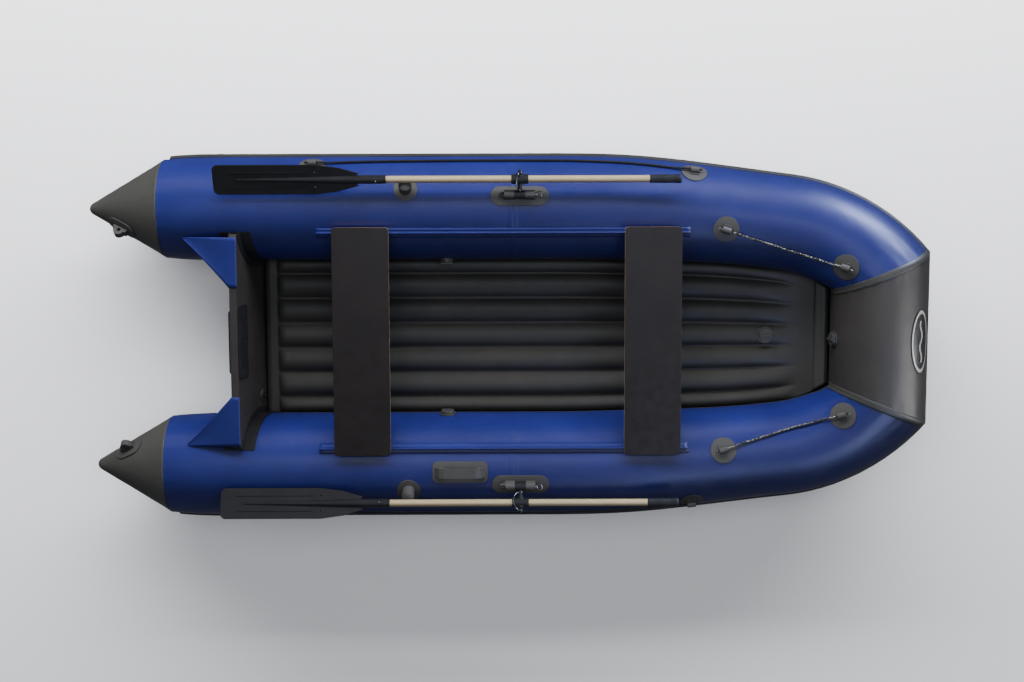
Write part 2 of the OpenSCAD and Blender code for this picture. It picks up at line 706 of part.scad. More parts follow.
// ---- Oarlocks ----
barrel_r = barrel_d / 2;
barrel_lift = barrel_r + 4;
oarlock_s = oarlock_x - wide_x;
barrel_y = tube_gauge + (tube_r + barrel_lift) * sin(oarlock_angle);
barrel_z = tube_r + (tube_r + barrel_lift) * cos(oarlock_angle);
oar_y = barrel_y + oar_out;
oar_z = barrel_z + oar_up;
stud_angle = atan(oar_up / oar_out);
stud_reach = norm([oar_out, oar_up]);
axle_r = axle_d / 2;
stud_r = stud_d / 2;
lug_gap = 44;
lug_len = 38;
lug_taper = 22;
base_len = 230;
base_w = 77;
base_t = 3;
ring_r = 13;
ring_wire = 1.6;
axle_out = lug_gap / 2 + lug_len + 10;
module at_barrel() translate([oarlock_x, barrel_y, barrel_z]) children();
// Frame of the stowed oar: X along the oar, Y along the stud, Z square to the blade
module at_oar() translate([oarlock_x, oar_y, oar_z]) rotate([stud_angle, 0, 0]) children();
module at_stud() at_barrel() rotate([stud_angle - 90, 0, 0]) children();

module oarlock_base() {
    color(grey) {
        patch(oarlock_s, oarlock_angle, base_t) stadium(base_len, base_w);
        difference() {
            seated(oarlock_s, oarlock_angle) union() {
                for (end = [-1, 1]) translate([end * (lug_gap + lug_len) / 2, 0, 0]) {
                    translate([0, 0, barrel_lift]) along_x() cylinder(h = lug_len, r = barrel_r, center = true);
                    translate([-lug_len / 2, -barrel_r, -20]) cube([lug_len, barrel_d, barrel_lift + 20]);
                }
                translate([-lug_gap / 2 - lug_len - lug_taper, 0, barrel_lift * 0.6]) along_x()
                    cylinder(h = lug_taper, r1 = barrel_r * 0.3, r2 = barrel_r * 0.85);
            }
            at_barrel() along_x() cylinder(h = lug_gap + 2 * lug_len + 80, r = axle_r + glue, center = true);
            translate([oarlock_x, tube_gauge, tube_r]) along_x()
                cylinder(h = base_len + 10, r = tube_r + base_t + glue, center = true);
        }
    }
}
module port_oarlock_base() oarlock_base();
module starboard_oarlock_base() starboard() oarlock_base();

module oarlock_axle() {
    ring_lean = -35;
    hole_x = axle_out - 4;
    at_barrel() {
        difference() {
            translate([-lug_gap / 2 - lug_len - 2, 0, 0]) along_x()
                cylinder(h = axle_out + lug_gap / 2 + lug_len + 2, r = axle_r);
            translate([hole_x, 0, 0]) rotate([90, 0, 0]) cylinder(h = axle_d + 2, r = ring_wire + 0.4, center = true);
        }
        translate([hole_x, 0, 0]) rotate([0, ring_lean, 0]) translate([ring_r, 0, 0])
            rotate_extrude() translate([ring_r, 0]) circle(ring_wire);
    }
}
module oarlock_axles() {
    color(metal) for (side = [0, 1]) mirror([0, side, 0]) oarlock_axle();
}

bail_r = 37;
bail_wire = 1.3;
bail_mid = stud_reach - 5;
eyelet_gap = 0.4;
shoulder_r = 8;
collar_boss = 22;
stud_tip = stud_reach + 40;
shoulder_end = stud_reach - collar_boss - 0.4;
module oarlock_swivel() {
    color(dark) difference() {
        union() {
            at_barrel() along_x() cylinder(h = lug_gap - 1, r = barrel_r, center = true);
            at_stud() cylinder(h = shoulder_end, r = shoulder_r);
            at_stud() cylinder(h = stud_tip - 3, r = stud_r);
            at_stud() translate([0, 0, stud_tip - 3]) cylinder(h = 3, r1 = stud_r, r2 = stud_r - 2);
        }
        at_barrel() along_x() cylinder(h = lug_gap + 10, r = axle_r + running_clearance, center = true);
    }
}
module port_oarlock_swivel() oarlock_swivel();
module starboard_oarlock_swivel() starboard() oarlock_swivel();

// Wire bail that swings round the stud; lift is its angle above the stowed shaft, towards the stern
module oar_bail(lift) {
    top_ring = stud_r + eyelet_gap + bail_wire;
    low_ring = shoulder_r + eyelet_gap + bail_wire;
    top_angle = asin(top_ring / bail_r);
    low_angle = asin(low_ring / bail_r);
    color(metal) at_stud() translate([0, 0, bail_mid]) {
        rotate([0, 0, 180 + lift]) rotate([90, 0, 0]) rotate([0, 0, low_angle - 90])
            rotate_extrude(angle = 180 - top_angle - low_angle) translate([bail_r, 0]) circle(bail_wire, $fn = 48);
        translate([0, 0, bail_r * cos(top_angle)]) rotate_extrude() translate([top_ring, 0]) circle(bail_wire, $fn = 48);
        translate([0, 0, -bail_r * cos(low_angle)]) rotate_extrude() translate([low_ring, 0]) circle(bail_wire, $fn = 48);
    }
}
port_bail_lift = 70;
starboard_bail_lift = 42;
module port_oar_bail() oar_bail(port_bail_lift);
module starboard_oar_bail() starboard() oar_bail(starboard_bail_lift);

// ---- Oars ----
shaft_r = shaft_d / 2;
shaft_bore_r = shaft_r - 1.9;
fit = 0.05;
neck_r = shaft_r + 3;
neck_len = 118;
neck_start = blade_len - blade_reach;
shaft_joint = -335;
spigot_len = 60;
grip_len = 124;
grip_r = shaft_r + 3;
collar_len = 66;
collar_r = shaft_r + 5;
blade_t = 5;
blade_tip_r = 22;
blade_full_len = 400;
button_back = 41;
button_r = 3.3;
button_hole_r = 3.6;
module stud_hole() rotate([90, 0, 0]) cylinder(h = 4 * collar_r, r = stud_r + running_clearance, center = true);
module blade_outline() {
    half = blade_w / 2;
    full_x = -blade_reach + blade_full_len;
    difference() {
        union() {
            polygon([
                [-blade_reach, half - blade_tip_r], [-blade_reach + blade_tip_r, half], [full_x, half],
                [full_x + 90, half * 0.8], [full_x + 170, half * 0.42], [neck_start - neck_len, neck_r],
                [neck_start - neck_len, -neck_r], [full_x + 170, -half * 0.42], [full_x + 90, -half * 0.8],
                [full_x, -half], [-blade_reach + blade_tip_r, -half], [-blade_reach, blade_tip_r - half]
            ]);
            for (side = [-1, 1]) translate([-blade_reach + blade_tip_r, side * (half - blade_tip_r)]) circle(blade_tip_r);
        }
        for (side = [-1, 1]) translate([full_x, side * 31]) circle(3);
    }
}
module oar_blade() {
    spine_end = -blade_reach + 90;
    rib = 3;
    color(dark) at_oar() difference() {
        union() {
            translate([0, 0, -blade_t / 2]) linear_extrude(blade_t) blade_outline();
            translate([neck_start - neck_len, 0, 0]) along_x() cylinder(h = neck_len, r = neck_r);
            translate([neck_start - neck_len, 0, 0]) rotate([0, -90, 0])
                cylinder(h = neck_start - neck_len - spine_end, r1 = neck_r, r2 = 5);
            for (side = [-1, 1]) translate([-blade_reach + 60, side * 31 - rib / 2, -blade_t / 2 - 2])
                cube([blade_full_len - 90, rib, blade_t + 4]);
        }
        translate([neck_start - neck_len, 0, 0]) along_x() cylinder(h = neck_len + 1, r = shaft_r + fit);
        translate([neck_start - button_back, 0, 0]) cylinder(h = 40, r = button_hole_r);
    }
}
module oar_shaft_lower() {
    start = neck_start - neck_len + 4;
    color(champagne) at_oar() difference() {
        union() {
            translate([start, 0, 0]) along_x() cylinder(h = shaft_joint - start - glue, r = shaft_r);
            translate([shaft_joint - 5, 0, 0]) along_x() cylinder(h = spigot_len, r = shaft_bore_r - fit);
        }
        translate([start - 1, 0, 0]) along_x() cylinder(h = spigot_len + shaft_joint - start, r = shaft_bore_r - 2);
        translate([neck_start - button_back, 0, 0]) cylinder(h = 40, r = button_hole_r);
    }
}
module oar_shaft_upper() {
    color(champagne) at_oar() difference() {
        translate([shaft_joint, 0, 0]) along_x() cylinder(h = grip_reach - 5 - shaft_joint, r = shaft_r);
        translate([shaft_joint - 1, 0, 0]) along_x() cylinder(h = grip_reach - 3 - shaft_joint, r = shaft_bore_r);
        stud_hole();
    }
}
module oar_collar() {
    color(dark) at_oar() difference() {
        union() {
            translate([-collar_len / 2, 0, 0]) along_x() cylinder(h = collar_len, r = collar_r);
            rotate([90, 0, 0]) cylinder(h = 2 * collar_boss, r = stud_r + 8, center = true);
        }
        translate([-collar_len, 0, 0]) along_x() cylinder(h = 2 * collar_len, r = shaft_r + fit);
        stud_hole();
    }
}
module oar_grip() {
    start = grip_reach - grip_len;
    color(dark) at_oar() difference() {
        translate([start, 0, 0]) along_x() rotate_extrude() polygon([
            [0, 0], [grip_r - 1, 0], [grip_r, 3], [grip_r - 1, 30], [grip_r, 60], [grip_r - 1, 92],
            [grip_r + 1, grip_len - 8], [grip_r - 1, grip_len - 1], [grip_r - 4, grip_len], [0, grip_len]
        ]);
        translate([start - 1, 0, 0]) along_x() cylinder(h = grip_len - 3, r = shaft_r + fit);
    }
}
module oar_button() {
    color(metal) at_oar() translate([neck_start - button_back, 0, 0]) {
        translate([0, 0, 6]) cylinder(h = neck_r - 5, r = button_r);
        translate([0, 0, 4]) cylinder(h = 3, r = button_r + 2);
        translate([0, 0, neck_r]) intersection() {
            cylinder(h = 6, r = button_r);
            sphere(button_r + 0.4);
        }
    }
}
module port_oar_blade() oar_blade();
module starboard_oar_blade() starboard() oar_blade();
module port_oar_shaft_lower() oar_shaft_lower();
module starboard_oar_shaft_lower() starboard() oar_shaft_lower();
module port_oar_shaft_upper() oar_shaft_upper();
module starboard_oar_shaft_upper() starboard() oar_shaft_upper();
module port_oar_collar() oar_collar();
module starboard_oar_collar() starboard() oar_collar();
module port_oar_grip() oar_grip();
module starboard_oar_grip() starboard() oar_grip();
module port_oar_button() oar_button();
module starboard_oar_button() starboard() oar_button();

// Rubber cradle that the stowed shaft lies in; its horn is cut to the path that the shaft swings on
clip_angle = 21.5;
clip_patch_d = 95;
clip_r = 25;
clip_h = 58;
clip_dome = 10;
clip_dome_r = (pow(clip_r, 2) + pow(clip_dome, 2)) / (2 * clip_dome);
clip_clearance = 0.5;
// The horn stays inside the circle that the shaft's near side swings on
swing_in = stud_reach - shaft_r - 2 * clip_clearance;
module oar_clip() {
    s = clip_x - wide_x;
    patch(s, clip_angle, base_t) circle(d = clip_patch_d);
    difference() {
        seated(s, clip_angle) union() {
            intersection() {
                cylinder(h = clip_h, r = clip_r);
                translate([0, 0, clip_h - clip_dome_r]) sphere(clip_dome_r);
            }
            cylinder(h = clip_h - clip_dome - 4, r = clip_r);
        }
        translate([clip_x, tube_gauge, tube_r]) along_x()
            cylinder(h = 2 * clip_patch_d, r = tube_r + base_t + glue, center = true);
        translate([clip_x, oar_y, oar_z]) along_x() cylinder(h = 2 * clip_patch_d, r = shaft_r + clip_clearance, center = true);
        translate([clip_x, barrel_y, barrel_z]) rotate([stud_angle, 0, 0]) difference() {
            translate([-clip_patch_d, 0, 0]) cube([2 * clip_patch_d, 2 * stud_reach, 2 * stud_reach]);
            along_x() cylinder(h = 4 * clip_patch_d, r = swing_in, center = true);
        }
    }
}
module oar_clips() {
    color(grey) for (side = [0, 1]) mirror([0, side, 0]) oar_clip();
}

// ---- Fittings ----
handle_grip_w = 40;
handle_grip_t = 6;
handle_gap = 24;
handle_foot = 34;
module carry_handle() {
    s = handle_x - wide_x;
    span = handle_len - 16;
    color(grey) starboard() {
        patch(s, 0, base_t) rounded_rect(handle_len, handle_w, 22);
        difference() {
            seated(s, 0) rotate([90, 0, 0]) translate([0, 0, -handle_grip_w / 2]) linear_extrude(handle_grip_w)
                difference() {
                    polygon([
                        [-span / 2, 0], [-span / 2 + 20, handle_gap + base_t], [-span / 2 + 40, handle_gap + base_t + handle_grip_t],
                        [span / 2 - 40, handle_gap + base_t + handle_grip_t], [span / 2 - 20, handle_gap + base_t], [span / 2, 0]
                    ]);
                    polygon([
                        [-span / 2 + handle_foot, -5], [-span / 2 + handle_foot + 8, handle_gap + base_t],
                        [span / 2 - handle_foot - 8, handle_gap + base_t], [span / 2 - handle_foot, -5]
                    ]);
                }
            translate([handle_x, tube_gauge, tube_r]) along_x()
                cylinder(h = handle_len + 20, r = tube_r + base_t + glue, center = true);
        }
    }
}

// Frame on the tube's surface at a station and angle: X along the tube, Y outboard, Z out of the tube
module at_surface(s, angle) {
    p = tube_point(s, angle, 0);
    x = unit(tube_point(s + 5, angle, 0) - tube_point(s - 5, angle, 0));
    z = unit(cross(x, tube_point(s, angle - 2, 0) - tube_point(s, angle + 2, 0)));
    y = cross(z, x);
    multmatrix([[x[0], y[0], z[0], p[0]], [x[1], y[1], z[1], p[1]], [x[2], y[2], z[2], p[2]], [0, 0, 0, 1]]) children();
}

// Rope eyes: station, angle on the tube, and spin of the hole to face along the rope
flank_eye_angle = 35;
eye_t = 3;
forward_eyes = [[station(735), flank_eye_angle, 0], [station(872), 105, -13], [path_len - 127, 118, 14.5]];
port_eyes = concat([[station(-775), flank_eye_angle, 0]], forward_eyes);
starboard_eyes = concat([[station(-717), flank_eye_angle, 0]], forward_eyes);
eye_bore_lift = 15;
eye_body_r = 20;
eye_body_len = 34;
eye_lug_r = 14;
module rope_eye(s, angle, spin) {
    at_surface(s, angle) {
        intersection() {
            translate([0, 0, -30]) linear_extrude(60) circle(d = eye_patch_d);
            translate([0, 0, -radius(s)]) tube_core(s, eye_t);
        }
        difference() {
            rotate([0, 0, spin]) difference() {
                union() {
                    translate([0, 0, eye_bore_lift - 3]) along_x() cylinder(h = eye_body_len, r = eye_lug_r, center = true);
                    translate([-eye_body_len / 2, -eye_body_r, -6]) cube([eye_body_len, 2 * eye_body_r, 12]);
                }
                translate([0, 0, eye_bore_lift]) along_x() cylinder(h = 2 * eye_patch_d, d = eye_bore_d, center = true);
            }
            translate([0, 0, -radius(s)]) tube_core(s, eye_t + glue);
        }
    }
}
// The eyes' patches are cut to the tube's own skin
module rope_eye_row(eyes) {
    difference() {
        for (e = eyes) rope_eye(e[0], e[1], e[2]);
        translate([wide_x - 1200, tube_gauge, tube_r]) along_x() cylinder(h = 1200, r = tube_r + glue);
        skin([for (s = forward_stations) ring(s, glue)]);
    }
}
module rope_eyes() {
    color(grey) {
        rope_eye_row(port_eyes);
        starboard() rope_eye_row(starboard_eyes);
    }
}

// Ropes: round points from knot to knot, on the port side; the starboard ones mirror Y
rope_r = rope_d / 2;
rope_sides = 8;
port_flank_rope = [
    [-807, 711, 339], [-775, 711, 339], [-757, 711, 339], [-735, 711, 334], [-713, 710, 329], [-675, 711, 323],
    [-575, 714, 318], [-440, 716, 314], [-320, 717, 312], [-180, 718, 311], [-40, 718, 311], [100, 718, 311],
    [230, 717, 312], [330, 714, 315], [430, 710, 317], [530, 703, 319], [610, 694, 322], [650, 689, 323],
    [688, 685, 327], [709, 684, 331], [731, 682, 335], [748, 681, 336], [765, 679, 336], [780, 678, 337]
];
starboard_flank_rope = [
    [-749, 711, 339], [-717, 711, 339], [-699, 711, 339], [-677, 711, 334], [-655, 710, 329], [-617, 711, 323],
    [-517, 714, 318], [-390, 716, 314], [-270, 717, 312], [-130, 718, 311], [0, 718, 311], [110, 718, 311],
    [230, 717, 312], [330, 714, 315], [430, 710, 317], [530, 703, 319], [610, 694, 322], [650, 689, 323],
    [688, 685, 327], [709, 684, 331], [731, 682, 335], [748, 681, 336], [765, 679, 336], [780, 678, 337]
];
bow_rope = [
    [836, 448, 423], [850, 444, 422], [866, 439, 422], [882, 433, 422], [903, 427, 418], [925, 420, 415],
    [958, 409, 412], [1006, 394, 411], [1054, 379, 412], [1101, 363, 413], [1149, 348, 417], [1234, 321, 435],
    [1267, 310, 448], [1289, 303, 461], [1310, 297, 473], [1325, 292, 479], [1340, 287, 485], [1353, 282, 491]
];
function unit(v) = v / norm(v);
function rope_direction(points, i) = unit(points[min(i + 1, len(points) - 1)] - points[max(i - 1, 0)]);
function rope_ring(points, i) =
    let (d = rope_direction(points, i), side = unit(cross([0, 0, 1], d)), up = cross(d, side))
    [for (k = [0:rope_sides - 1]) points[i] + rope_r * (cos(k * 45) * side + sin(k * 45) * up)];
module rope(points) {
    skin([for (i = [0:len(points) - 1]) rope_ring(points, i)]);
}
module bow_ropes() {
    color(grey) {
        rope(bow_rope);
        starboard() rope(bow_rope);
    }
}
module flank_ropes() {
    color(dark) {
        rope(port_flank_rope);
        starboard() rope(starboard_flank_rope);
    }
}

// Towing eyes on the inboard side of the cones
tow_back = 168;
tow_angle = 50;
tow_patch_len = 130;
tow_patch_w = 78;
tow_lift = 18;
tow_body_w = 26;
module tow_eye() {
    lean = acos(cone_tip_r / norm([cone_base_r, cone_len - cone_tip_r])) - atan2(cone_len - cone_tip_r, cone_base_r);
    tow_r = cone_base_r - tow_back * tan(lean);
    translate([cone_base_x - tow_back, tube_gauge, tube_r]) rotate([tow_angle, 0, 0])
        translate([0, 0, tow_r]) rotate([0, -lean, 0]) difference() {
            union() {
                intersection() {
                    translate([0, 0, -20]) linear_extrude(40) stadium(tow_patch_len, tow_patch_w);
                    cone_shell(tow_r, lean, 4);
                }
                translate([-tow_patch_len / 4, -tow_body_w / 2, -20])
                    cube([tow_patch_len / 2, tow_body_w, tow_lift + 20]);
                translate([0, 0, tow_lift]) rotate([90, 0, 0])
                    cylinder(h = tow_body_w, r = tow_patch_len / 4 - 10, center = true);
            }
            cone_shell(tow_r, lean, glue);
            translate([0, 0, tow_lift]) rotate([90, 0, 0]) cylinder(h = 60, d = tow_bore_d, center = true);
        }
}
// The cone's surface as seen from a tow eye's frame, grown by extra
module cone_shell(tow_r, lean, extra) {
    rotate([0, lean, 0]) translate([0, 0, -tow_r]) along_x() translate([0, 0, -150])
        cylinder(h = 300, r1 = tow_r - 150 * tan(lean) + extra / cos(lean), r2 = tow_r + 150 * tan(lean) + extra / cos(lean));
}
module stern_tow_eyes() {
    color(grey) for (side = [0, 1]) mirror([0, side, 0]) tow_eye();
}

// ---- Valves ----
cap_gap = 0.4;
module valve_body_shape() {
    difference() {
        union() {
            translate([0, 0, -8]) cylinder(h = 8 + valve_flange_t, d = valve_flange_d);
            translate([0, 0, -valve_sleeve_len]) cylinder(h = valve_sleeve_len + valve_flange_t, r = valve_sleeve_r);
        }
        translate([0, 0, -valve_sleeve_len - 1]) cylinder(h = 2 * valve_sleeve_len, r = valve_throat_r);
    }
}
// Keeps the flange outside the skin and lets only the sleeve through it
module trimmed_flange() {
    difference() {
        valve_body_shape();
        difference() {
            children();
            translate([0, 0, -2 * valve_sleeve_len]) cylinder(h = 4 * valve_sleeve_len, r = valve_sleeve_r);
        }
    }
}
module valve_bodies() {
    color(grey) {
        for (side = [0, 1]) mirror([0, side, 0]) at_tube_valve() trimmed_flange()
            translate([0, 0, -tube_r]) along_x() cylinder(h = 300, r = tube_r + glue, center = true);
        at_bow_valve() trimmed_flange()
            translate([0, 0, -bow_r]) rotate([90, 0, 0]) cylinder(h = 300, r = bow_r + glue, center = true);
        at_floor_valve() trimmed_flange() translate([-60, -60, -40]) cube([120, 120, 40 + glue]);
    }
}
module valve_cap_shape() {
    cap_r = valve_sleeve_r + 2;
    translate([0, 0, valve_flange_t + cap_gap]) cylinder(h = 9, r = cap_r);
    translate([0, 0, valve_flange_t - 8]) cylinder(h = 10, r = valve_throat_r - cap_gap);
    translate([-cap_r + 3, -4, valve_flange_t + cap_gap + 8]) cube([2 * cap_r - 6, 8, 8]);
}
module port_valve_cap() color(grey) at_tube_valve() valve_cap_shape();
module starboard_valve_cap() color(grey) starboard() at_tube_valve() valve_cap_shape();
module bow_valve_cap() color(grey) at_bow_valve() valve_cap_shape();
module floor_valve_cap() color(grey) at_floor_valve() valve_cap_shape();

// Plain oval badge on the front of the bow tube
badge_tilt = 45;
badge_len = 256;
badge_w = 112;
badge_t = 2.5;
module bow_badge() {
    color([0.85, 0.85, 0.85]) translate([bow_x, 0, tube_r + bow_rise]) difference() {
        intersection() {
            rotate([0, badge_tilt, 0]) translate([0, 0, bow_r - 30]) linear_extrude(60)
                scale([badge_w / badge_len, 1]) circle(d = badge_len);
            rotate([90, 0, 0]) cylinder(h = length, r = bow_r + badge_t, center = true);
        }
        rotate([90, 0, 0]) cylinder(h = length, r = bow_r + glue, center = true);
    }
}

port_tube_aft();
starboard_tube_aft();
port_tube_forward();
starboard_tube_forward();
bow_tube();
port_stern_cone();
starboard_stern_cone();
tube_baffles();
rub_strake();
bow_seam_tapes();
cockpit_seam_tape();
floor_top_skin();
floor_webs();
hull_bottom_skin();
keel_strip();
transom_board();
transom_holders();
transom_gussets();
outer_motor_pad();
inner_motor_pad();
motor_pad_screws();
drain_valve_body();
drain_plug();
rear_seat_board();
front_seat_board();
rear_seat_sliders();
front_seat_sliders();
port_seat_rail();
starboard_seat_rail();
port_oarlock_base();
starboard_oarlock_base();
oarlock_axles();
port_oarlock_swivel();
starboard_oarlock_swivel();
port_oar_bail();
starboard_oar_bail();
port_oar_blade();
starboard_oar_blade();
port_oar_shaft_lower();
starboard_oar_shaft_lower();
port_oar_shaft_upper();
starboard_oar_shaft_upper();
port_oar_collar();
starboard_oar_collar();
port_oar_grip();
starboard_oar_grip();
port_oar_button();
starboard_oar_button();
oar_clips();
carry_handle();
rope_eyes();
bow_ropes();
flank_ropes();
stern_tow_eyes();
valve_bodies();
port_valve_cap();
starboard_valve_cap();
bow_valve_cap();
floor_valve_cap();
bow_badge();
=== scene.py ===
"""Looks of a blunt-bowed inflatable motor boat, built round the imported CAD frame.

Metres and degrees. +X points to the bow, +Y to port, +Z up, and the ground is at Z = 0.
"""
import math

import bmesh
import bpy
import numpy as np
from mathutils import Matrix, Vector, noise


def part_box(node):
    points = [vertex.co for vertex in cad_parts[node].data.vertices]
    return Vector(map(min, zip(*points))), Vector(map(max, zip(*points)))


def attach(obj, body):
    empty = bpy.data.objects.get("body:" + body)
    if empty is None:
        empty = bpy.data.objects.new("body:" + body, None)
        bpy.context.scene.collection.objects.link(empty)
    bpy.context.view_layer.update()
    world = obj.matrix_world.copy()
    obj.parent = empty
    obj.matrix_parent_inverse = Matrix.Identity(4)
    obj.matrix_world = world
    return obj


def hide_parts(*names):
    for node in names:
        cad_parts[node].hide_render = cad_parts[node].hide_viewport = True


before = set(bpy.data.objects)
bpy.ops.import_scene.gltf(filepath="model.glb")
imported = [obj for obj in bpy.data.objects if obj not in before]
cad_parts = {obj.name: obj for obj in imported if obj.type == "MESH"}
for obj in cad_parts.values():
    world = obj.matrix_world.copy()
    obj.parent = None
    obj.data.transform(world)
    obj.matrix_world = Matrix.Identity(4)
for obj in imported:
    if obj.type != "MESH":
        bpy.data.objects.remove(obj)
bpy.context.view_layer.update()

HULL = "hull"
SIDES = {"port": 1, "starboard": -1}


# ---- Camera: almost overhead, a little to port of the boat's middle ----
CAMERA_PLACE = (0.002, 0.640, 6.271)
CAMERA_TURN = (-6.215, -0.177, -0.165)
LENS_MM = 52.03
SENSOR_MM = 36


def make_camera():
    data = bpy.data.cameras.new("camera")
    data.lens = LENS_MM
    data.sensor_width = SENSOR_MM
    camera = bpy.data.objects.new("camera", data)
    camera.location = CAMERA_PLACE
    camera.rotation_euler = [math.radians(a) for a in CAMERA_TURN]
    bpy.context.scene.collection.objects.link(camera)
    bpy.context.scene.camera = camera


make_camera()


# ---- Sizes, read from the frame ----
def box_size(node):
    low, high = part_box(node)
    return Vector(high) - Vector(low)


def box_middle(node):
    low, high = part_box(node)
    return (Vector(high) + Vector(low)) / 2


AFT_TUBE = "port_tube_aft"
TUBE_R = box_size(AFT_TUBE).z / 2
GAUGE = box_middle(AFT_TUBE).y
BAFFLE_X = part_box(AFT_TUBE)[1][0]
CONE_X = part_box(AFT_TUBE)[0][0]
BOW_R = box_size("bow_tube").x / 2
BOW_X = box_middle("bow_tube").x
RISE = box_middle("bow_tube").z - TUBE_R
CONE_R = box_size("port_stern_cone").z / 2
CONE_LEN = box_size("port_stern_cone").x
CONE_TIP_R = 0.028
STERN_TAPER = 0.187
SHOULDER = 0.257
BEND_R = 0.62
WIDE_BEND = math.radians(8)
TIGHT_BEND = math.radians(47)
MITRE = (math.pi / 2 - TIGHT_BEND) / 2
FLOOR_Z = 0.14
RIB_H = 0.028
RIB_PITCH = 0.103
RIBS = 5

# ---- The side tube's centreline, as in the CAD: straight, a wide bend, then a tight one ----
WIDE_R = (SHOULDER - BEND_R * (math.cos(WIDE_BEND) - math.cos(TIGHT_BEND))) / (1 - math.cos(WIDE_BEND))
TIGHT_X = BOW_X - BEND_R * (math.sin(TIGHT_BEND) - math.sin(WIDE_BEND))
WIDE_X = TIGHT_X - WIDE_R * math.sin(WIDE_BEND)
WIDE_LEN = WIDE_R * WIDE_BEND
PATH_LEN = WIDE_LEN + BEND_R * (TIGHT_BEND - WIDE_BEND)
TIGHT_CENTRE_X = TIGHT_X - BEND_R * math.sin(WIDE_BEND)
RISE_LEN = 0.956
TAPER_START, TAPER_LEN = 0.2, 0.7
MITRE_BLEND = 0.35


def clamp01(t):
    return min(1.0, max(0.0, t))


def smooth(t):
    u = clamp01(t)
    return u * u * (3 - 2 * u)


def heading(s):
    if s <= 0:
        return 0.0
    if s <= WIDE_LEN:
        return s / WIDE_R
    return WIDE_BEND + (s - WIDE_LEN) / BEND_R


def path_x(s):
    if s <= 0:
        return WIDE_X + s
    if s <= WIDE_LEN:
        return WIDE_X + WIDE_R * math.sin(heading(s))
    return TIGHT_X + BEND_R * (math.sin(heading(s)) - math.sin(WIDE_BEND))


def path_y(s):
    if s <= 0:
        return GAUGE
    if s <= WIDE_LEN:
        return GAUGE - WIDE_R * (1 - math.cos(heading(s)))
    wide_in = WIDE_R * (1 - math.cos(WIDE_BEND))
    return GAUGE - wide_in - BEND_R * (math.cos(WIDE_BEND) - math.cos(heading(s)))


def path_z(s):
    return TUBE_R + RISE * clamp01((s - PATH_LEN + RISE_LEN) / RISE_LEN) ** 2


def radius(s):
    narrow = (TUBE_R - CONE_R) * clamp01(1 - (path_x(s) - CONE_X) / STERN_TAPER) ** 2
    return TUBE_R - (TUBE_R - BOW_R) * smooth((s - TAPER_START) / TAPER_LEN) - narrow


def station(x):
    if x <= WIDE_X:
        return x - WIDE_X
    if x <= TIGHT_X:
        return WIDE_R * math.asin((x - WIDE_X) / WIDE_R)
    return WIDE_LEN + BEND_R * (math.asin(math.sin(WIDE_BEND) + (x - TIGHT_X) / BEND_R) - WIDE_BEND)


def cant(s):
    return MITRE * smooth((s - PATH_LEN + MITRE_BLEND) / MITRE_BLEND)


def tube_point(s, angle, extra=0.0, side=1):
    """Point on a side tube: angle in degrees from outboard (0) over the crown (90) to inboard (180)."""
    turn = math.pi / 2 - heading(s) - cant(s)
    r = radius(s) + extra
    a = math.radians(angle)
    out = r / math.cos(cant(s)) * math.cos(a)
    x, y = path_x(s) + out * math.cos(turn), path_y(s) + out * math.sin(turn)
    return (x, side * y, path_z(s) + r * math.sin(a))


def inner_station(x, angle):
    """Station whose inboard side, at an angle below the widest line, comes to x."""
    inward = radius(station(x)) * math.cos(math.radians(angle))
    tight, wide = BEND_R - inward, WIDE_R - inward
    if x <= WIDE_X:
        return x - WIDE_X
    if x <= TIGHT_CENTRE_X + tight * math.sin(WIDE_BEND):
        return WIDE_R * math.asin((x - WIDE_X) / wide)
    return WIDE_LEN + BEND_R * (math.asin((x - TIGHT_CENTRE_X) / tight) - WIDE_BEND)


def half_width(x, angle):
    s = inner_station(x, angle)
    return path_y(s) - radius(s) * math.cos(math.radians(angle)) * math.cos(heading(s))


def attach_z(x, angle):
    s = inner_station(x, angle)
    return path_z(s) - radius(s) * math.sin(math.radians(angle))


# ---- Mesh helpers ----
def link(name, mesh, material, body=HULL):
    piece = bpy.data.objects.new(name, mesh)
    bpy.context.scene.collection.objects.link(piece)
    mesh.materials.append(material)
    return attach(piece, body)


def sweep(name, rows, uv_rows, material, body=HULL, wrap=True, caps=True, close=False):
    """Mesh over rows of points. wrap joins the ends of each row, close joins the last row to the first."""
    rows = np.asarray(rows, dtype=float)
    uv_rows = np.asarray(uv_rows, dtype=float)
    m, n = rows.shape[:2]
    faces, corners = [], []
    for i in range(m if close else m - 1):
        k = (i + 1) % m
        for j in range(n if wrap else n - 1):
            q = (j + 1) % n
            faces.append((i * n + j, i * n + q, k * n + q, k * n + j))
            last = uv_rows.shape[1] - 1
            i_end = i + 1 if i + 1 < uv_rows.shape[0] else i
            j_end = min(j + 1, last)
            corners += [uv_rows[i, j], uv_rows[i, j_end], uv_rows[i_end, j_end], uv_rows[i_end, j]]
    if caps and wrap and not close:
        for loop in (range(n), [(m - 1) * n + j for j in range(n - 1, -1, -1)]):
            faces.append(tuple(loop))
            corners += [(0.0, 0.0)] * n
    mesh = bpy.data.meshes.new(name)
    mesh.from_pydata([tuple(p) for row in rows for p in row], [], faces)
    layer = mesh.uv_layers.new(name="cloth")
    layer.data.foreach_set("uv", np.asarray(corners, dtype=float).ravel())
    work = bmesh.new()
    work.from_mesh(mesh)
    bmesh.ops.recalc_face_normals(work, faces=work.faces)
    for face in work.faces:
        face.smooth = len(face.verts) == 4
    work.to_mesh(mesh)
    work.free()
    return link(name, mesh, material, body)


def spread(low, high, count):
    return [low + (high - low) * i / (count - 1) for i in range(count)]


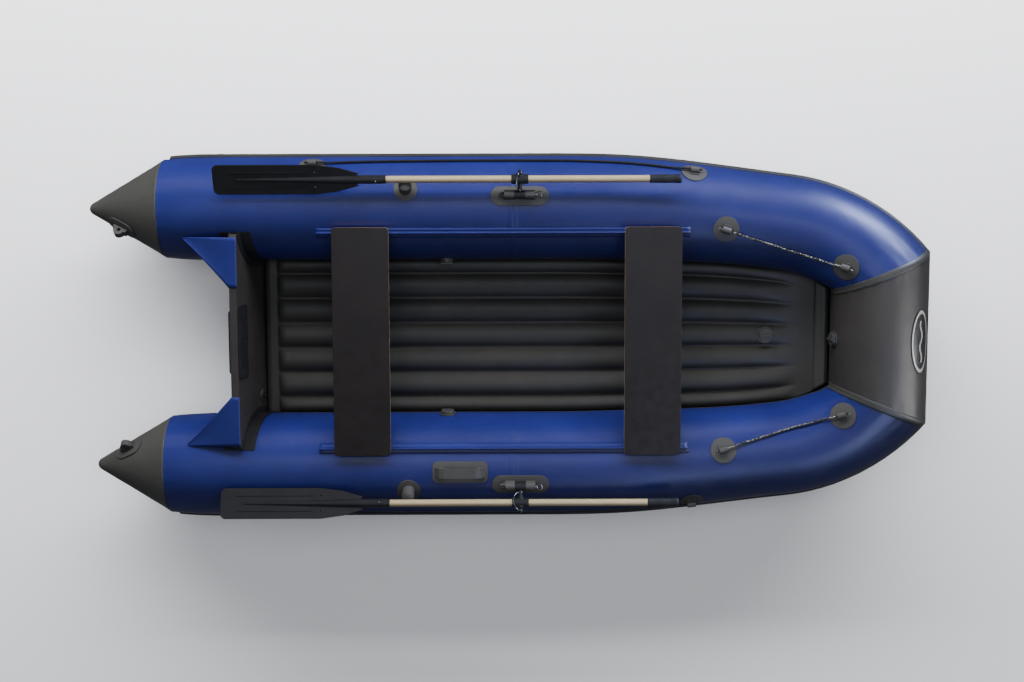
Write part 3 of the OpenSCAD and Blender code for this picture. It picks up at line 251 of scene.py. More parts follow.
# ---- Materials ----
def node(tree, kind, **settings):
    made = tree.nodes.new(kind)
    for name, value in settings.items():
        if name.startswith("in_"):
            made.inputs[int(name[3:])].default_value = value
        else:
            setattr(made, name, value)
    return made


def shader(name, metallic=0.0, coat=0.0, sheen=0.0, coat_rough=0.2):
    material = bpy.data.materials.new(name)
    material.use_nodes = True
    tree = material.node_tree
    tree.nodes.clear()
    out = node(tree, "ShaderNodeOutputMaterial")
    surface = node(tree, "ShaderNodeBsdfPrincipled")
    surface.inputs["Metallic"].default_value = metallic
    surface.inputs["Coat Weight"].default_value = coat
    surface.inputs["Coat Roughness"].default_value = coat_rough
    surface.inputs["Sheen Weight"].default_value = sheen
    tree.links.new(surface.outputs[0], out.inputs[0])
    return material, tree, surface


def coordinates(tree, use_uv):
    source = node(tree, "ShaderNodeTexCoord")
    return source.outputs["UV" if use_uv else "Object"]


def blotches(tree, place, scale, detail=4.0, rough=0.55):
    clouds = node(tree, "ShaderNodeTexNoise")
    clouds.inputs["Scale"].default_value = scale
    clouds.inputs["Detail"].default_value = detail
    clouds.inputs["Roughness"].default_value = rough
    tree.links.new(place, clouds.inputs["Vector"])
    return clouds.outputs[0]


def ramp(tree, value, stops):
    """Colour ramp from (position, colour or grey) stops."""
    curve = node(tree, "ShaderNodeValToRGB")
    band = curve.color_ramp
    while len(band.elements) < len(stops):
        band.elements.new(0.5)
    for element, (position, colour) in zip(band.elements, stops):
        element.position = position
        element.color = (*colour, 1) if isinstance(colour, tuple) else (colour, colour, colour, 1)
    tree.links.new(value, curve.inputs[0])
    return curve.outputs[0]


def combine(tree, mode, a, b, share=1.0):
    mix = node(tree, "ShaderNodeMix", data_type="RGBA", blend_type=mode)
    mix.inputs[0].default_value = share
    tree.links.new(a, mix.inputs[6])
    tree.links.new(b, mix.inputs[7])
    return mix.outputs[2]


def weave_height(tree, place, pitch):
    """Plain weave: two crossed sets of threads, pitch metres apart."""
    waves = []
    for direction in ("X", "Y"):
        wave = node(tree, "ShaderNodeTexWave", bands_direction=direction)
        wave.inputs["Scale"].default_value = 1 / pitch / 3.1831
        tree.links.new(place, wave.inputs["Vector"])
        waves.append(wave.outputs[0])
    return combine(tree, "MULTIPLY", waves[0], waves[1])


def rounded_edges(tree, radius_m):
    edge = node(tree, "ShaderNodeBevel", samples=4)
    edge.inputs["Radius"].default_value = radius_m
    return edge.outputs[0]


def bump(tree, height, depth, strength=1.0, under=None):
    made = node(tree, "ShaderNodeBump")
    made.inputs["Strength"].default_value = strength
    made.inputs["Distance"].default_value = depth
    tree.links.new(height, made.inputs["Height"])
    if under is not None:
        tree.links.new(under, made.inputs["Normal"])
    return made.outputs[0]


def shade(colour, factor):
    return tuple(min(1.0, c * factor) for c in colour)


def coated_fabric(name, colour, rough=(0.34, 0.46), use_uv=True, pitch=0.0012, coat=0.1, vary=0.16, weave=0.00012):
    """PVC-coated cloth: a faint weave under a smooth coat, slow colour drift and handling marks."""
    material, tree, surface = shader(name, coat=coat, coat_rough=0.25)
    place = coordinates(tree, use_uv)
    dark, light = shade(colour, 1 - vary), shade(colour, 1 + vary)
    drift = ramp(tree, blotches(tree, place, 3.0), [(0.3, dark), (0.7, light)])
    scuff = ramp(tree, blotches(tree, place, 60.0, 6.0, 0.7), [(0.42, 1.0), (0.75, 0.86)])
    tree.links.new(combine(tree, "MULTIPLY", drift, scuff), surface.inputs["Base Color"])
    gloss = ramp(tree, blotches(tree, place, 14.0, 5.0), [(0.3, rough[0]), (0.7, rough[1])])
    tree.links.new(gloss, surface.inputs["Roughness"])
    grain = bump(tree, weave_height(tree, place, pitch), weave, 0.6)
    tree.links.new(bump(tree, blotches(tree, place, 9.0, 3.0), 0.0012, 0.35, grain), surface.inputs["Normal"])
    return material


def moulded(name, colour, rough=(0.45, 0.6), grain=0.00015, scale=900.0, metallic=0.0, vary=0.12, edge=0.0015):
    """Moulded rubber or plastic: fine pebble grain, slight patches of gloss and dust."""
    material, tree, surface = shader(name, metallic=metallic)
    place = coordinates(tree, False)
    dark, light = shade(colour, 1 - vary), shade(colour, 1 + vary)
    drift = ramp(tree, blotches(tree, place, 12.0), [(0.3, dark), (0.7, light)])
    dust = ramp(tree, blotches(tree, place, 140.0, 6.0, 0.75), [(0.5, 1.0), (0.8, 0.8)])
    tree.links.new(combine(tree, "MULTIPLY", drift, dust), surface.inputs["Base Color"])
    gloss = ramp(tree, blotches(tree, place, 35.0, 5.0), [(0.3, rough[0]), (0.7, rough[1])])
    tree.links.new(gloss, surface.inputs["Roughness"])
    soft = rounded_edges(tree, edge)
    tree.links.new(bump(tree, blotches(tree, place, scale, 3.0), grain, 0.5, soft), surface.inputs["Normal"])
    return material


def maths(tree, operation, a, b=None):
    made = node(tree, "ShaderNodeMath", operation=operation)
    for index, value in enumerate((a, b)):
        if isinstance(value, (int, float)):
            made.inputs[index].default_value = value
        elif value is not None:
            tree.links.new(value, made.inputs[index])
    return made.outputs[0]


def parts_of(tree, vector):
    split = node(tree, "ShaderNodeSeparateXYZ")
    tree.links.new(vector, split.inputs[0])
    return split.outputs


def mixed(tree, share, a, b):
    """Colour a where share is 0 and b where it is 1; either may be a colour or a socket."""
    mix = node(tree, "ShaderNodeMix", data_type="RGBA")
    tree.links.new(share, mix.inputs[0])
    for index, colour in ((6, a), (7, b)):
        if isinstance(colour, tuple):
            mix.inputs[index].default_value = (*colour, 1)
        else:
            tree.links.new(colour, mix.inputs[index])
    return mix.outputs[2]


def plywood(name, face, rim, plies=0.0022):
    """Film-faced plywood: a dark fine-grained face, and pale plies on the sawn edges."""
    material, tree, surface = shader(name, coat=0.15, coat_rough=0.3)
    place = coordinates(tree, False)
    drift = ramp(tree, blotches(tree, place, 9.0, 5.0), [(0.3, shade(face, 0.8)), (0.7, shade(face, 1.25))])
    layers = node(tree, "ShaderNodeTexWave", bands_direction="Z")
    layers.inputs["Scale"].default_value = 1 / plies / 3.1831
    layers.inputs["Distortion"].default_value = 1.5
    tree.links.new(place, layers.inputs["Vector"])
    bands = ramp(tree, layers.outputs[0], [(0.3, shade(rim, 0.55)), (0.6, rim)])
    upright = parts_of(tree, node(tree, "ShaderNodeNewGeometry").outputs["Normal"])[2]
    on_edge = maths(tree, "LESS_THAN", maths(tree, "ABSOLUTE", upright), 0.9)
    tree.links.new(mixed(tree, on_edge, drift, bands), surface.inputs["Base Color"])
    gloss = ramp(tree, blotches(tree, place, 30.0, 5.0), [(0.3, 0.36), (0.7, 0.5)])
    tree.links.new(gloss, surface.inputs["Roughness"])
    grain = bump(tree, blotches(tree, place, 700.0, 2.0), 0.00008, 0.4, rounded_edges(tree, 0.002))
    tree.links.new(grain, surface.inputs["Normal"])
    return material


BADGE_TILT = math.radians(45)
BADGE_HALF = (0.056, 0.128)


def badge_vinyl(name, ground, rim):
    """Oval badge: dark ground, pale rim and a plain pale wave across the middle."""
    material, tree, surface = shader(name, coat=0.3, coat_rough=0.15)
    x, y, z = parts_of(tree, coordinates(tree, False))
    along = maths(tree, "MULTIPLY", maths(tree, "SUBTRACT", x, BOW_X), math.cos(BADGE_TILT) / BADGE_HALF[0])
    down = maths(tree, "MULTIPLY", maths(tree, "SUBTRACT", z, TUBE_R + RISE), math.sin(BADGE_TILT) / BADGE_HALF[0])
    up = maths(tree, "SUBTRACT", along, down)
    across = maths(tree, "DIVIDE", y, BADGE_HALF[1])
    out = maths(tree, "ADD", maths(tree, "MULTIPLY", up, up), maths(tree, "MULTIPLY", across, across))
    in_rim = maths(tree, "MULTIPLY", maths(tree, "GREATER_THAN", out, 0.74), maths(tree, "LESS_THAN", out, 0.93))
    swell = maths(tree, "MULTIPLY", maths(tree, "SINE", maths(tree, "MULTIPLY", across, 9.0)), 0.13)
    wave = maths(tree, "ABSOLUTE", maths(tree, "SUBTRACT", up, swell))
    in_wave = maths(tree, "MULTIPLY", maths(tree, "LESS_THAN", wave, 0.09), maths(tree, "LESS_THAN", out, 0.42))
    pale = maths(tree, "MAXIMUM", in_rim, in_wave)
    tree.links.new(mixed(tree, pale, ground, rim), surface.inputs["Base Color"])
    wear = ramp(tree, blotches(tree, coordinates(tree, False), 60.0, 5.0), [(0.3, 0.25), (0.7, 0.42)])
    tree.links.new(wear, surface.inputs["Roughness"])
    tree.links.new(rounded_edges(tree, 0.001), surface.inputs["Normal"])
    return material


BLUE = (0.0074, 0.0105, 0.08)
GREY = (0.023, 0.0215, 0.0205)
OLIVE = (0.034, 0.034, 0.0315)
BLACK = (0.007, 0.007, 0.0075)


def flecked(name, colour, fleck):
    """Braided cord with pale tracer yarns among dark ones."""
    material, tree, surface = shader(name)
    place = coordinates(tree, False)
    yarns = ramp(tree, blotches(tree, place, 170.0, 2.0, 0.4), [(0.53, colour), (0.56, fleck)])
    tree.links.new(yarns, surface.inputs["Base Color"])
    wear = ramp(tree, blotches(tree, place, 60.0, 4.0), [(0.3, 0.7), (0.7, 0.85)])
    tree.links.new(wear, surface.inputs["Roughness"])
    return material


MATERIALS = {
    "blue": coated_fabric("blue_pvc", BLUE),
    "grey": coated_fabric("grey_pvc", GREY, rough=(0.4, 0.52)),
    "cone": coated_fabric("cone_pvc", OLIVE, rough=(0.38, 0.5)),
    "floor": coated_fabric("floor_pvc", (0.021, 0.0205, 0.019), rough=(0.45, 0.58), coat=0.0),
    "bottom": coated_fabric("bottom_pvc", (0.022, 0.022, 0.022), rough=(0.45, 0.58), coat=0.0),
    "tape": coated_fabric("tape_pvc", (0.026, 0.026, 0.025), rough=(0.4, 0.5), coat=0.0),
    "strake": coated_fabric("strake_rubber", (0.019, 0.019, 0.0185), rough=(0.4, 0.55), coat=0.0),
    "rubber": moulded("grey_rubber", (0.034, 0.0335, 0.033)),
    "black": moulded("black_nylon", BLACK, rough=(0.4, 0.55)),
    "black_rubber": moulded("black_rubber", (0.006, 0.006, 0.006), rough=(0.55, 0.7)),
    "grey_plastic": moulded("grey_nylon", (0.03, 0.03, 0.029), rough=(0.38, 0.5)),
    "steel": moulded("stainless_steel", (0.45, 0.45, 0.44), rough=(0.2, 0.34), metallic=1.0, grain=0.00003,
                     edge=0.0004),
    "champagne": moulded("champagne_tube", (0.4, 0.33, 0.21), rough=(0.32, 0.42), metallic=0.5, grain=0.00002,
                         vary=0.04),
    "badge": badge_vinyl("badge_vinyl", (0.012, 0.012, 0.013), (0.35, 0.35, 0.34)),
    "wood": moulded("painted_plywood", (0.02, 0.018, 0.0175), rough=(0.42, 0.55), edge=0.002),
    "seat": plywood("seat_plywood", (0.0058, 0.004, 0.0032), (0.34, 0.22, 0.12)),
    "black_rope": moulded("black_rope", (0.007, 0.007, 0.007), rough=(0.7, 0.85), edge=0.0002),
    "flecked_rope": flecked("flecked_rope", (0.007, 0.007, 0.0075), (0.16, 0.16, 0.16)),
}


# ---- Tubes ----
TUBE_SIDES = 96
SEAM_STEP = 0.0008


def seam_band(distance, half, rise=SEAM_STEP, edge=0.003):
    """Height of a glued overlap at a distance from its middle line."""
    return rise * smooth((half + edge - abs(distance)) / edge)


def pucker(distance, angle, reach, depth, count, seed):
    """Small gathers beside a seam; never outwards."""
    waves = math.sin(count * math.radians(angle) + 2.5 * noise.noise((seed, angle / 40, 0)))
    return -depth * math.exp(-((distance / reach) ** 2)) * (0.5 + 0.5 * waves)


def slack(s, angle, side):
    """Slow unevenness of an inflated tube, never outwards."""
    a = math.radians(angle)
    at = Vector((s * 3.2, math.cos(a) * 1.4, math.sin(a) * 1.4 + 7 * side))
    return -0.0014 * (0.5 + 0.5 * noise.noise(at))


def tube_offset(s, angle, side):
    to_bow = PATH_LEN - s
    to_baffle = path_x(s) - BAFFLE_X if s < 0.3 else 1.0
    to_cone = path_x(s) - CONE_X if s < 0 else 1.0
    fade = smooth(to_bow / 0.02) * smooth(to_cone / 0.01)
    height = slack(s, angle, side) * fade
    height += pucker(to_bow, angle, 0.07, 0.0022, 22, 3.1 * side)
    height += pucker(to_cone, angle, 0.05, 0.0014, 26, 5.3 * side)
    height += pucker(abs(to_baffle) - 0.03, angle, 0.03, 0.0008, 30, 9.7 * side)
    height += seam_band(to_baffle, 0.016) * fade
    return height


def ring_angles(count):
    return [360 * i / count for i in range(count)]


def tube_piece(name, side, stations, material, replaced):
    angles = ring_angles(TUBE_SIDES)
    rows = [[tube_point(s, a, tube_offset(s, a, side), side) for a in angles] for s in stations]
    uv = [[(s, radius(s) * math.radians(a)) for a in angles + [360]] for s in stations]
    piece = sweep(name, rows, uv, material)
    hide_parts(replaced)
    return piece


def near(marks, low, high, step, fine=0.004, reach=0.03):
    """Stations from low to high, closer together around each mark."""
    places = set(spread(low, high, max(2, round((high - low) / step) + 1)))
    for mark in marks:
        for k in range(int(2 * reach / fine) + 1):
            place = mark - reach + k * fine
            if low < place < high:
                places.add(place)
    return sorted(places)


def make_tubes():
    seam = BAFFLE_X - WIDE_X
    start = CONE_X - WIDE_X
    for name, side in SIDES.items():
        aft = near([start, seam], start, seam, 0.03)
        forward = near([seam, PATH_LEN], seam, PATH_LEN, 0.022)
        tube_piece(f"{name}_tube_aft_skin", side, aft, MATERIALS["blue"], f"{name}_tube_aft")
        tube_piece(f"{name}_tube_forward_skin", side, forward, MATERIALS["blue"], f"{name}_tube_forward")


def make_bow_tube():
    angles = ring_angles(TUBE_SIDES)
    ring = np.array([tube_point(PATH_LEN, a) for a in angles])
    rows, uv = [], []
    steps = 70
    for i in range(steps + 1):
        share = 1 - 2 * i / steps
        row = []
        for a, p in zip(angles, ring):
            to_seam = abs(p[1]) * (1 - abs(share))
            seed = 2.2 if share > 0 else 6.6
            extra = pucker(to_seam, a, 0.06, 0.002, 20, seed) - 0.0012 * smooth(to_seam / 0.05)
            q = tube_point(PATH_LEN, a, extra)
            row.append((q[0], q[1] * share, q[2]))
        rows.append(row)
        uv.append([(ring[0][1] * share, BOW_R * math.radians(a)) for a in angles + [360]])
    piece = sweep("bow_tube_skin", rows, uv, MATERIALS["grey"])
    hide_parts("bow_tube")


def make_bow_tapes():
    half, thick = 0.016, 0.0016
    angles = ring_angles(TUBE_SIDES)
    for name, side in SIDES.items():
        rows, uv = [], []
        for d, h in ((-half, 0.0), (-half + 0.001, thick), (-half / 2, thick), (0, thick + 0.0004),
                     (half / 2, thick), (half - 0.001, thick), (half, 0.0), (half / 2, -0.002), (-half / 2, -0.002)):
            row = []
            for a in angles:
                if d <= 0:
                    p = tube_point(PATH_LEN + d, a, h, side)
                else:
                    p = tube_point(PATH_LEN, a, h, side)
                    p = (p[0], p[1] - side * d, p[2])
                row.append(p)
            rows.append(row)
            uv.append([(d, BOW_R * math.radians(a)) for a in angles + [360]])
        piece = sweep(f"{name}_bow_seam_tape", rows, uv, MATERIALS["tape"], close=True)
        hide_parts("bow_seam_tapes")


def cone_profile():
    """(distance aft of the cone's seam, radius) from the seam to the tip, with a glued band at the seam."""
    reach = CONE_LEN - CONE_TIP_R
    lean = math.acos(CONE_TIP_R / math.hypot(CONE_R, reach)) - math.atan2(reach, CONE_R)
    points = [(0.0, CONE_R - 0.004), (0.0, CONE_R)]
    end_x = reach + CONE_TIP_R * math.sin(lean)
    end_r = CONE_TIP_R * math.cos(lean)
    steps = 34
    for i in range(1, steps + 1):
        t = i / steps
        x = end_x * t
        r = CONE_R + (end_r - CONE_R) * t
        points.append((x, r - 0.0009 * smooth((x - 0.022) / 0.003)))
    tip = 8
    for i in range(1, tip + 1):
        a = lean + (math.pi / 2 - lean) * i / tip
        points.append((reach + CONE_TIP_R * math.sin(a), max(0.0005, CONE_TIP_R * math.cos(a) - 0.0009)))
    return points


def make_cones():
    for name, side in SIDES.items():
        angles = ring_angles(TUBE_SIDES)
        rows, uv = [], []
        for x, r in cone_profile():
            row = []
            for a in angles:
                t = math.radians(a)
                give = pucker(x, a, 0.04, 0.0012, 24, 4.4 * side) if x > 0.001 else 0.0
                patch = noise.noise((x * 9, math.cos(t) * 2, math.sin(t) * 2 + side))
                give -= 0.0012 * clamp01(x / 0.05) * (0.5 + 0.5 * patch)
                rr = max(0.0004, r + give * clamp01(r / 0.03))
                row.append((CONE_X - x, side * (GAUGE + rr * math.cos(t)), TUBE_R + rr * math.sin(t)))
            rows.append(row)
            uv.append([(x, r * math.radians(a)) for a in angles + [360]])
        piece = sweep(f"{name}_stern_cone_skin", rows, uv, MATERIALS["cone"])
        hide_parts(f"{name}_stern_cone")


def strake_profile():
    """(height along the tube, stand-out) round the strake's section: thin lips and a ridged middle."""
    half, lip, stand = 0.022, 0.0035, box_stand()
    ridge = [(-half, 0.0), (-half, lip * 0.7), (-half * 0.72, lip)]
    for i in range(9):
        t = -1 + i / 4
        groove = 0.0014 * (0.5 + 0.5 * math.cos(t * math.pi * 3))
        ridge.append((half * 0.62 * t, lip + (stand - lip) * math.sqrt(max(0.0, 1 - t * t * 0.82)) - groove))
    return ridge + [(half * 0.72, lip), (half, lip * 0.7), (half, 0.0)]


def box_stand():
    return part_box("rub_strake")[1][1] - GAUGE - TUBE_R


def make_strake():
    start = CONE_X + 0.022 - WIDE_X
    stations = near([start], start, PATH_LEN, 0.035, fine=0.01)
    profile = strake_profile()
    half_rows, half_uv = [], []
    for s in stations:
        row = []
        for along, stand in profile:
            angle = math.degrees(along / radius(s))
            row.append(tube_point(s, angle, stand - 0.0008))
        half_rows.append(row)
        half_uv.append([(s, along * 2 + stand) for along, stand in profile + [profile[0]]])
    mirrored = [[(p[0], -p[1], p[2]) for p in row] for row in reversed(half_rows)]
    far_uv = [[(2 * PATH_LEN - u + 0.5, v) for u, v in row] for row in reversed(half_uv)]
    piece = sweep("rub_strake_band", half_rows + mirrored, half_uv + far_uv, MATERIALS["strake"])
    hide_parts("rub_strake")


# ---- Floor and bottom ----
FLOOR_ANGLE = math.degrees(math.asin((TUBE_R - FLOOR_Z) / TUBE_R))
FLOOR_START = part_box("floor_top_skin")[0][0]
FLOOR_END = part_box("floor_top_skin")[1][0]
RIB_START = FLOOR_START + 0.05
RIB_END = FLOOR_END - 0.13
RIB_ROUND = 0.04
RIB_EDGE = RIBS * RIB_PITCH / 2
EDGE_GAP = 0.003


def rib_height(x):
    rise = math.sqrt(clamp01(1 - (1 - clamp01((x - RIB_START) / RIB_ROUND)) ** 2))
    return RIB_H * rise * clamp01((RIB_END - x) / 0.16) ** 0.6


def rib_arc(u):
    bow = 2 * RIB_H / RIB_PITCH
    r = (1 + bow * bow) / (2 * bow)
    return (math.sqrt(max(0.0, r * r - u * u)) - (r - bow)) / bow


def floor_marks(steps=12):
    """(place across the floor, height share, place in the rib) from port to starboard."""
    edge_w = half_width(0, FLOOR_ANGLE) - EDGE_GAP - RIB_EDGE
    marks = []
    bounds = [(RIB_EDGE + edge_w, RIB_EDGE)]
    bounds += [(RIB_EDGE - i * RIB_PITCH, RIB_EDGE - (i + 1) * RIB_PITCH) for i in range(RIBS)]
    bounds += [(-RIB_EDGE, -RIB_EDGE - edge_w)]
    for high, low in bounds:
        for k in range(steps + 1):
            if marks and k == 0:
                continue
            u = 1 - 2 * k / steps
            marks.append(((high + low) / 2 + (high - low) / 2 * u, rib_arc(u), u))
    return marks


def make_floor():
    marks = floor_marks()
    places = near([RIB_START + 0.02], FLOOR_START, FLOOR_END, 0.022, fine=0.005, reach=0.04)
    rows, uv = [], []
    for x in places:
        share = (half_width(x, FLOOR_ANGLE) - EDGE_GAP) / (half_width(0, FLOOR_ANGLE) - EDGE_GAP)
        base = attach_z(x, FLOOR_ANGLE)
        row, urow = [], []
        for y, height, u in marks:
            ripple = 0.0012 * noise.noise((x * 14, y * 9, 1.7)) * height
            stitch = -0.0006 * height * (0.5 + 0.5 * math.cos(2 * math.pi * x / 0.06))
            row.append((x, y * share, base + rib_height(x) * height + ripple + stitch - 0.0006))
            urow.append((x, y * share))
        rows.append(row)
        uv.append(urow)
    piece = sweep("floor_top", rows, uv, MATERIALS["floor"], wrap=False)
    thick = piece.modifiers.new("cloth", "SOLIDIFY")
    thick.thickness = 0.0012
    thick.offset = -1
    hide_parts("floor_top_skin")


def make_cockpit_tape():
    """Tape that laps the floor's edge onto the tubes, right round the cockpit."""
    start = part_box("cockpit_seam_tape")[0][0] - WIDE_X
    stations = near([PATH_LEN], start, PATH_LEN, 0.03)
    low = 180 + FLOOR_ANGLE - 1
    width = 0.04
    steps = 5
    top, bottom, uv = [], [], []
    for s in stations:
        high = low - math.degrees(width / radius(s))
        angles = spread(low, high, steps)
        outer = [tube_point(s, a, 0.0008 if 0 < k < steps - 1 else 0.0002) for k, a in enumerate(angles)]
        inner = [tube_point(s, a, -0.001) for a in reversed(angles)]
        top.append(outer + inner)
        uv.append([(s, 0.01 * k) for k in range(2 * steps + 1)])
    bottom = [[(p[0], -p[1], p[2]) for p in row] for row in reversed(top)]
    far_uv = [[(2 * PATH_LEN - u + 0.5, v) for u, v in row] for row in reversed(uv)]
    piece = sweep("cockpit_tape", top + bottom, uv + far_uv, MATERIALS["tape"])
    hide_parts("cockpit_seam_tape")


def thickened(piece, thickness):
    cloth = piece.modifiers.new("cloth", "SOLIDIFY")
    cloth.thickness = thickness
    cloth.offset = -1
    return piece


def make_bow_band():
    """Wide glued band where the floor's forward end meets the bow tube."""
    rows, uv = [], []
    for k, x in enumerate(spread(FLOOR_END - 0.055, FLOOR_END - 0.006, 6)):
        half = half_width(x, FLOOR_ANGLE) - 0.004
        lift = 0.0016 if 0 < k < 5 else 0.0004
        places = spread(-1, 1, 40)
        rows.append([(x, half * t, attach_z(x, FLOOR_ANGLE) + lift) for t in places])
        uv.append([(x, half * t) for t in places])
    piece = thickened(sweep("bow_floor_band", rows, uv, MATERIALS["tape"], wrap=False), 0.0012)
    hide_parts("cockpit_seam_tape")


BOTTOM_ANGLE = math.degrees(math.asin((TUBE_R - 0.04) / TUBE_R))
BOTTOM_DROP = 0.032


def make_bottom():
    """Hull bottom: a shallow V that the air floor presses out, soft at the keel and drawn in at its edges."""
    low, high = (corner[0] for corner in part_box("hull_bottom_skin"))
    rows, uv = [], []
    for x in spread(low, high - 0.004, 70):
        half = half_width(x, BOTTOM_ANGLE) - 0.005
        row, urow = [], []
        for t in spread(-1, 1, 49):
            fall = BOTTOM_DROP * (1 - math.sqrt(t * t + 0.004))
            press = 0.0014 * math.cos(2 * math.pi * t * half / RIB_PITCH) * clamp01((RIB_END - x) / 0.3)
            ripple = 0.0008 * noise.noise((x * 5, t * 4, 8.8))
            row.append((x, half * t, attach_z(x, BOTTOM_ANGLE) - fall - (press + 0.0014) * (1 - t * t) + ripple))
            urow.append((x, half * t))
        rows.append(row)
        uv.append(urow)
    piece = thickened(sweep("hull_bottom", rows, uv, MATERIALS["bottom"], wrap=False), 0.0012)
    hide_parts("hull_bottom_skin")


def make_webs():
    """Upright sheets of thread cloth that hold the floor's ribs down."""
    low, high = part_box("floor_webs")
    for i in range(RIBS + 1):
        y = RIB_EDGE - i * RIB_PITCH
        foot = attach_z(0.3, BOTTOM_ANGLE) - BOTTOM_DROP * (1 - abs(y) / half_width(0.3, BOTTOM_ANGLE)) + 0.003
        rows, uv = [], []
        for z in spread(foot, high[2] - 0.001, 5):
            row = [(x, y + 0.0008 * math.sin(x * 60 + z * 40), z) for x in spread(low[0], high[0], 60)]
            rows.append(row)
            uv.append([(p[0], z) for p in row])
        piece = sweep(f"floor_web_{i + 1}", rows, uv, MATERIALS["bottom"], wrap=False)
        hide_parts("floor_webs")
        thickened(piece, 0.0008)


def make_baffles():
    """Domed cloth discs between the air chambers."""
    disc = TUBE_R - 0.003
    for name, side in SIDES.items():
        rows, uv = [], []
        for r in spread(0.004, disc, 16):
            sag = 0.5 - math.sqrt(0.25 - disc * disc)
            x = BAFFLE_X + math.sqrt(0.25 - r * r) - 0.5 + sag
            ring = [(x, side * (GAUGE + r * math.cos(math.radians(a))), TUBE_R + r * math.sin(math.radians(a)))
                    for a in ring_angles(48)]
            rows.append(ring)
            uv.append([(p[1], p[2]) for p in ring + ring[:1]])
        piece = sweep(f"{name}_baffle", rows, uv, MATERIALS["bottom"], caps=False)
        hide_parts("tube_baffles")
        thickened(piece, 0.0008)


def make_gussets():
    """Blue cloth triangle from each tube up to the transom's corner, folded over the board's top edge."""
    rake, above_tubes = math.radians(11.5), 0.01
    back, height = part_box("transom_board")[0][0], 2 * TUBE_R + above_tubes
    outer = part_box("transom_gussets")[1][1]
    inward, foot, lap = 0.2, 0.196, 0.034
    for name, side in SIDES.items():
        rows, uv = [], []
        for a in spread(-0.97 * foot, 0, 22) + spread(0.006, lap, 5):
            share = min(1, 1 + a / foot)
            row = []
            for v in spread(0, 1, 14):
                hem = 0.0009 if v > 0.86 else 0.0
                loose = math.sin(math.pi * share)
                lift = 0.0016 + hem - 0.003 * loose * math.sin(math.pi * v)
                y = outer - inward * share * v + 0.004 * loose * v
                row.append((back + a * math.cos(rake) - lift * math.sin(rake), side * y,
                            height + a * math.sin(rake) + lift * math.cos(rake)))
            rows.append(row)
            uv.append([(a, p[1]) for p in row])
        piece = sweep(f"{name}_gusset", rows, uv, MATERIALS["blue"], wrap=False)
        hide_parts("transom_gussets")
        thickened(piece, 0.0012)


def make_rails():
    """Seat rail: a cloth strip glued to the tube, sewn round a cord that the sliders run on."""
    low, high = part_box("port_seat_rail")
    bead_r, flap, half = 0.004, 0.0012, 0.02
    bead_z = high[2] - bead_r
    rail_y = GAUGE - 0.095
    for name, side in SIDES.items():
        rows, uv = [], []
        for x in spread(low[0], high[0], 90):
            s = station(x)
            centre, r = path_y(s), radius(s)

            def on_tube(y, lift):
                return path_z(s) + math.sqrt((r + lift) ** 2 - (centre - y) ** 2)

            lips = [(rail_y + half * t, on_tube(rail_y + half * t, 0.0006)) for t in (-1, -0.5, 0, 0.5, 1)]
            over = [(rail_y + half * t, on_tube(rail_y + half * t, 0.0018)) for t in (1, 0.5)]
            back = [(rail_y - half * t, on_tube(rail_y - half * t, 0.0018)) for t in (0.5, 1)]
            bead = [(rail_y + bead_r * math.cos(math.radians(a)), bead_z + bead_r * math.sin(math.radians(a)))
                    for a in range(-70, 251, 32)]
            near_side = [(rail_y + flap, on_tube(rail_y, 0.002)), (rail_y + flap, bead_z - bead_r)]
            far_side = [(rail_y - flap, bead_z - bead_r), (rail_y - flap, on_tube(rail_y, 0.002))]
            loop = lips + over + near_side + bead + far_side + back
            rows.append([(x, side * y, z) for y, z in loop])
            uv.append([(x, 0.006 * k) for k in range(len(loop) + 1)])
        piece = sweep(f"{name}_rail_strip", rows, uv, MATERIALS["blue"])
        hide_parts(f"{name}_seat_rail")


# ---- Ropes ----
ROPE_R = 0.0045
FORWARD_FLANK = [
    (230, 717, 312), (330, 714, 315), (430, 710, 317), (530, 703, 319), (610, 694, 322), (650, 689, 323),
    (688, 685, 327), (709, 684, 331), (731, 682, 335), (748, 681, 336), (765, 679, 336), (780, 678, 337)
]
PORT_FLANK = [
    (-807, 711, 339), (-775, 711, 339), (-757, 711, 339), (-735, 711, 334), (-713, 710, 329), (-675, 711, 323),
    (-575, 714, 318), (-440, 716, 314), (-320, 717, 312), (-180, 718, 311), (-40, 718, 311), (100, 718, 311)
] + FORWARD_FLANK
STARBOARD_FLANK = [
    (-749, 711, 339), (-717, 711, 339), (-699, 711, 339), (-677, 711, 334), (-655, 710, 329), (-617, 711, 323),
    (-517, 714, 318), (-390, 716, 314), (-270, 717, 312), (-130, 718, 311), (0, 718, 311), (110, 718, 311)
] + FORWARD_FLANK
BOW_ROPE = [
    (836, 448, 423), (850, 444, 422), (866, 439, 422), (882, 433, 422), (903, 427, 418), (925, 420, 415),
    (958, 409, 412), (1006, 394, 411), (1054, 379, 412), (1101, 363, 413), (1149, 348, 417), (1234, 321, 435),
    (1267, 310, 448), (1289, 303, 461), (1310, 297, 473), (1325, 292, 479), (1340, 287, 485), (1353, 282, 491)
]


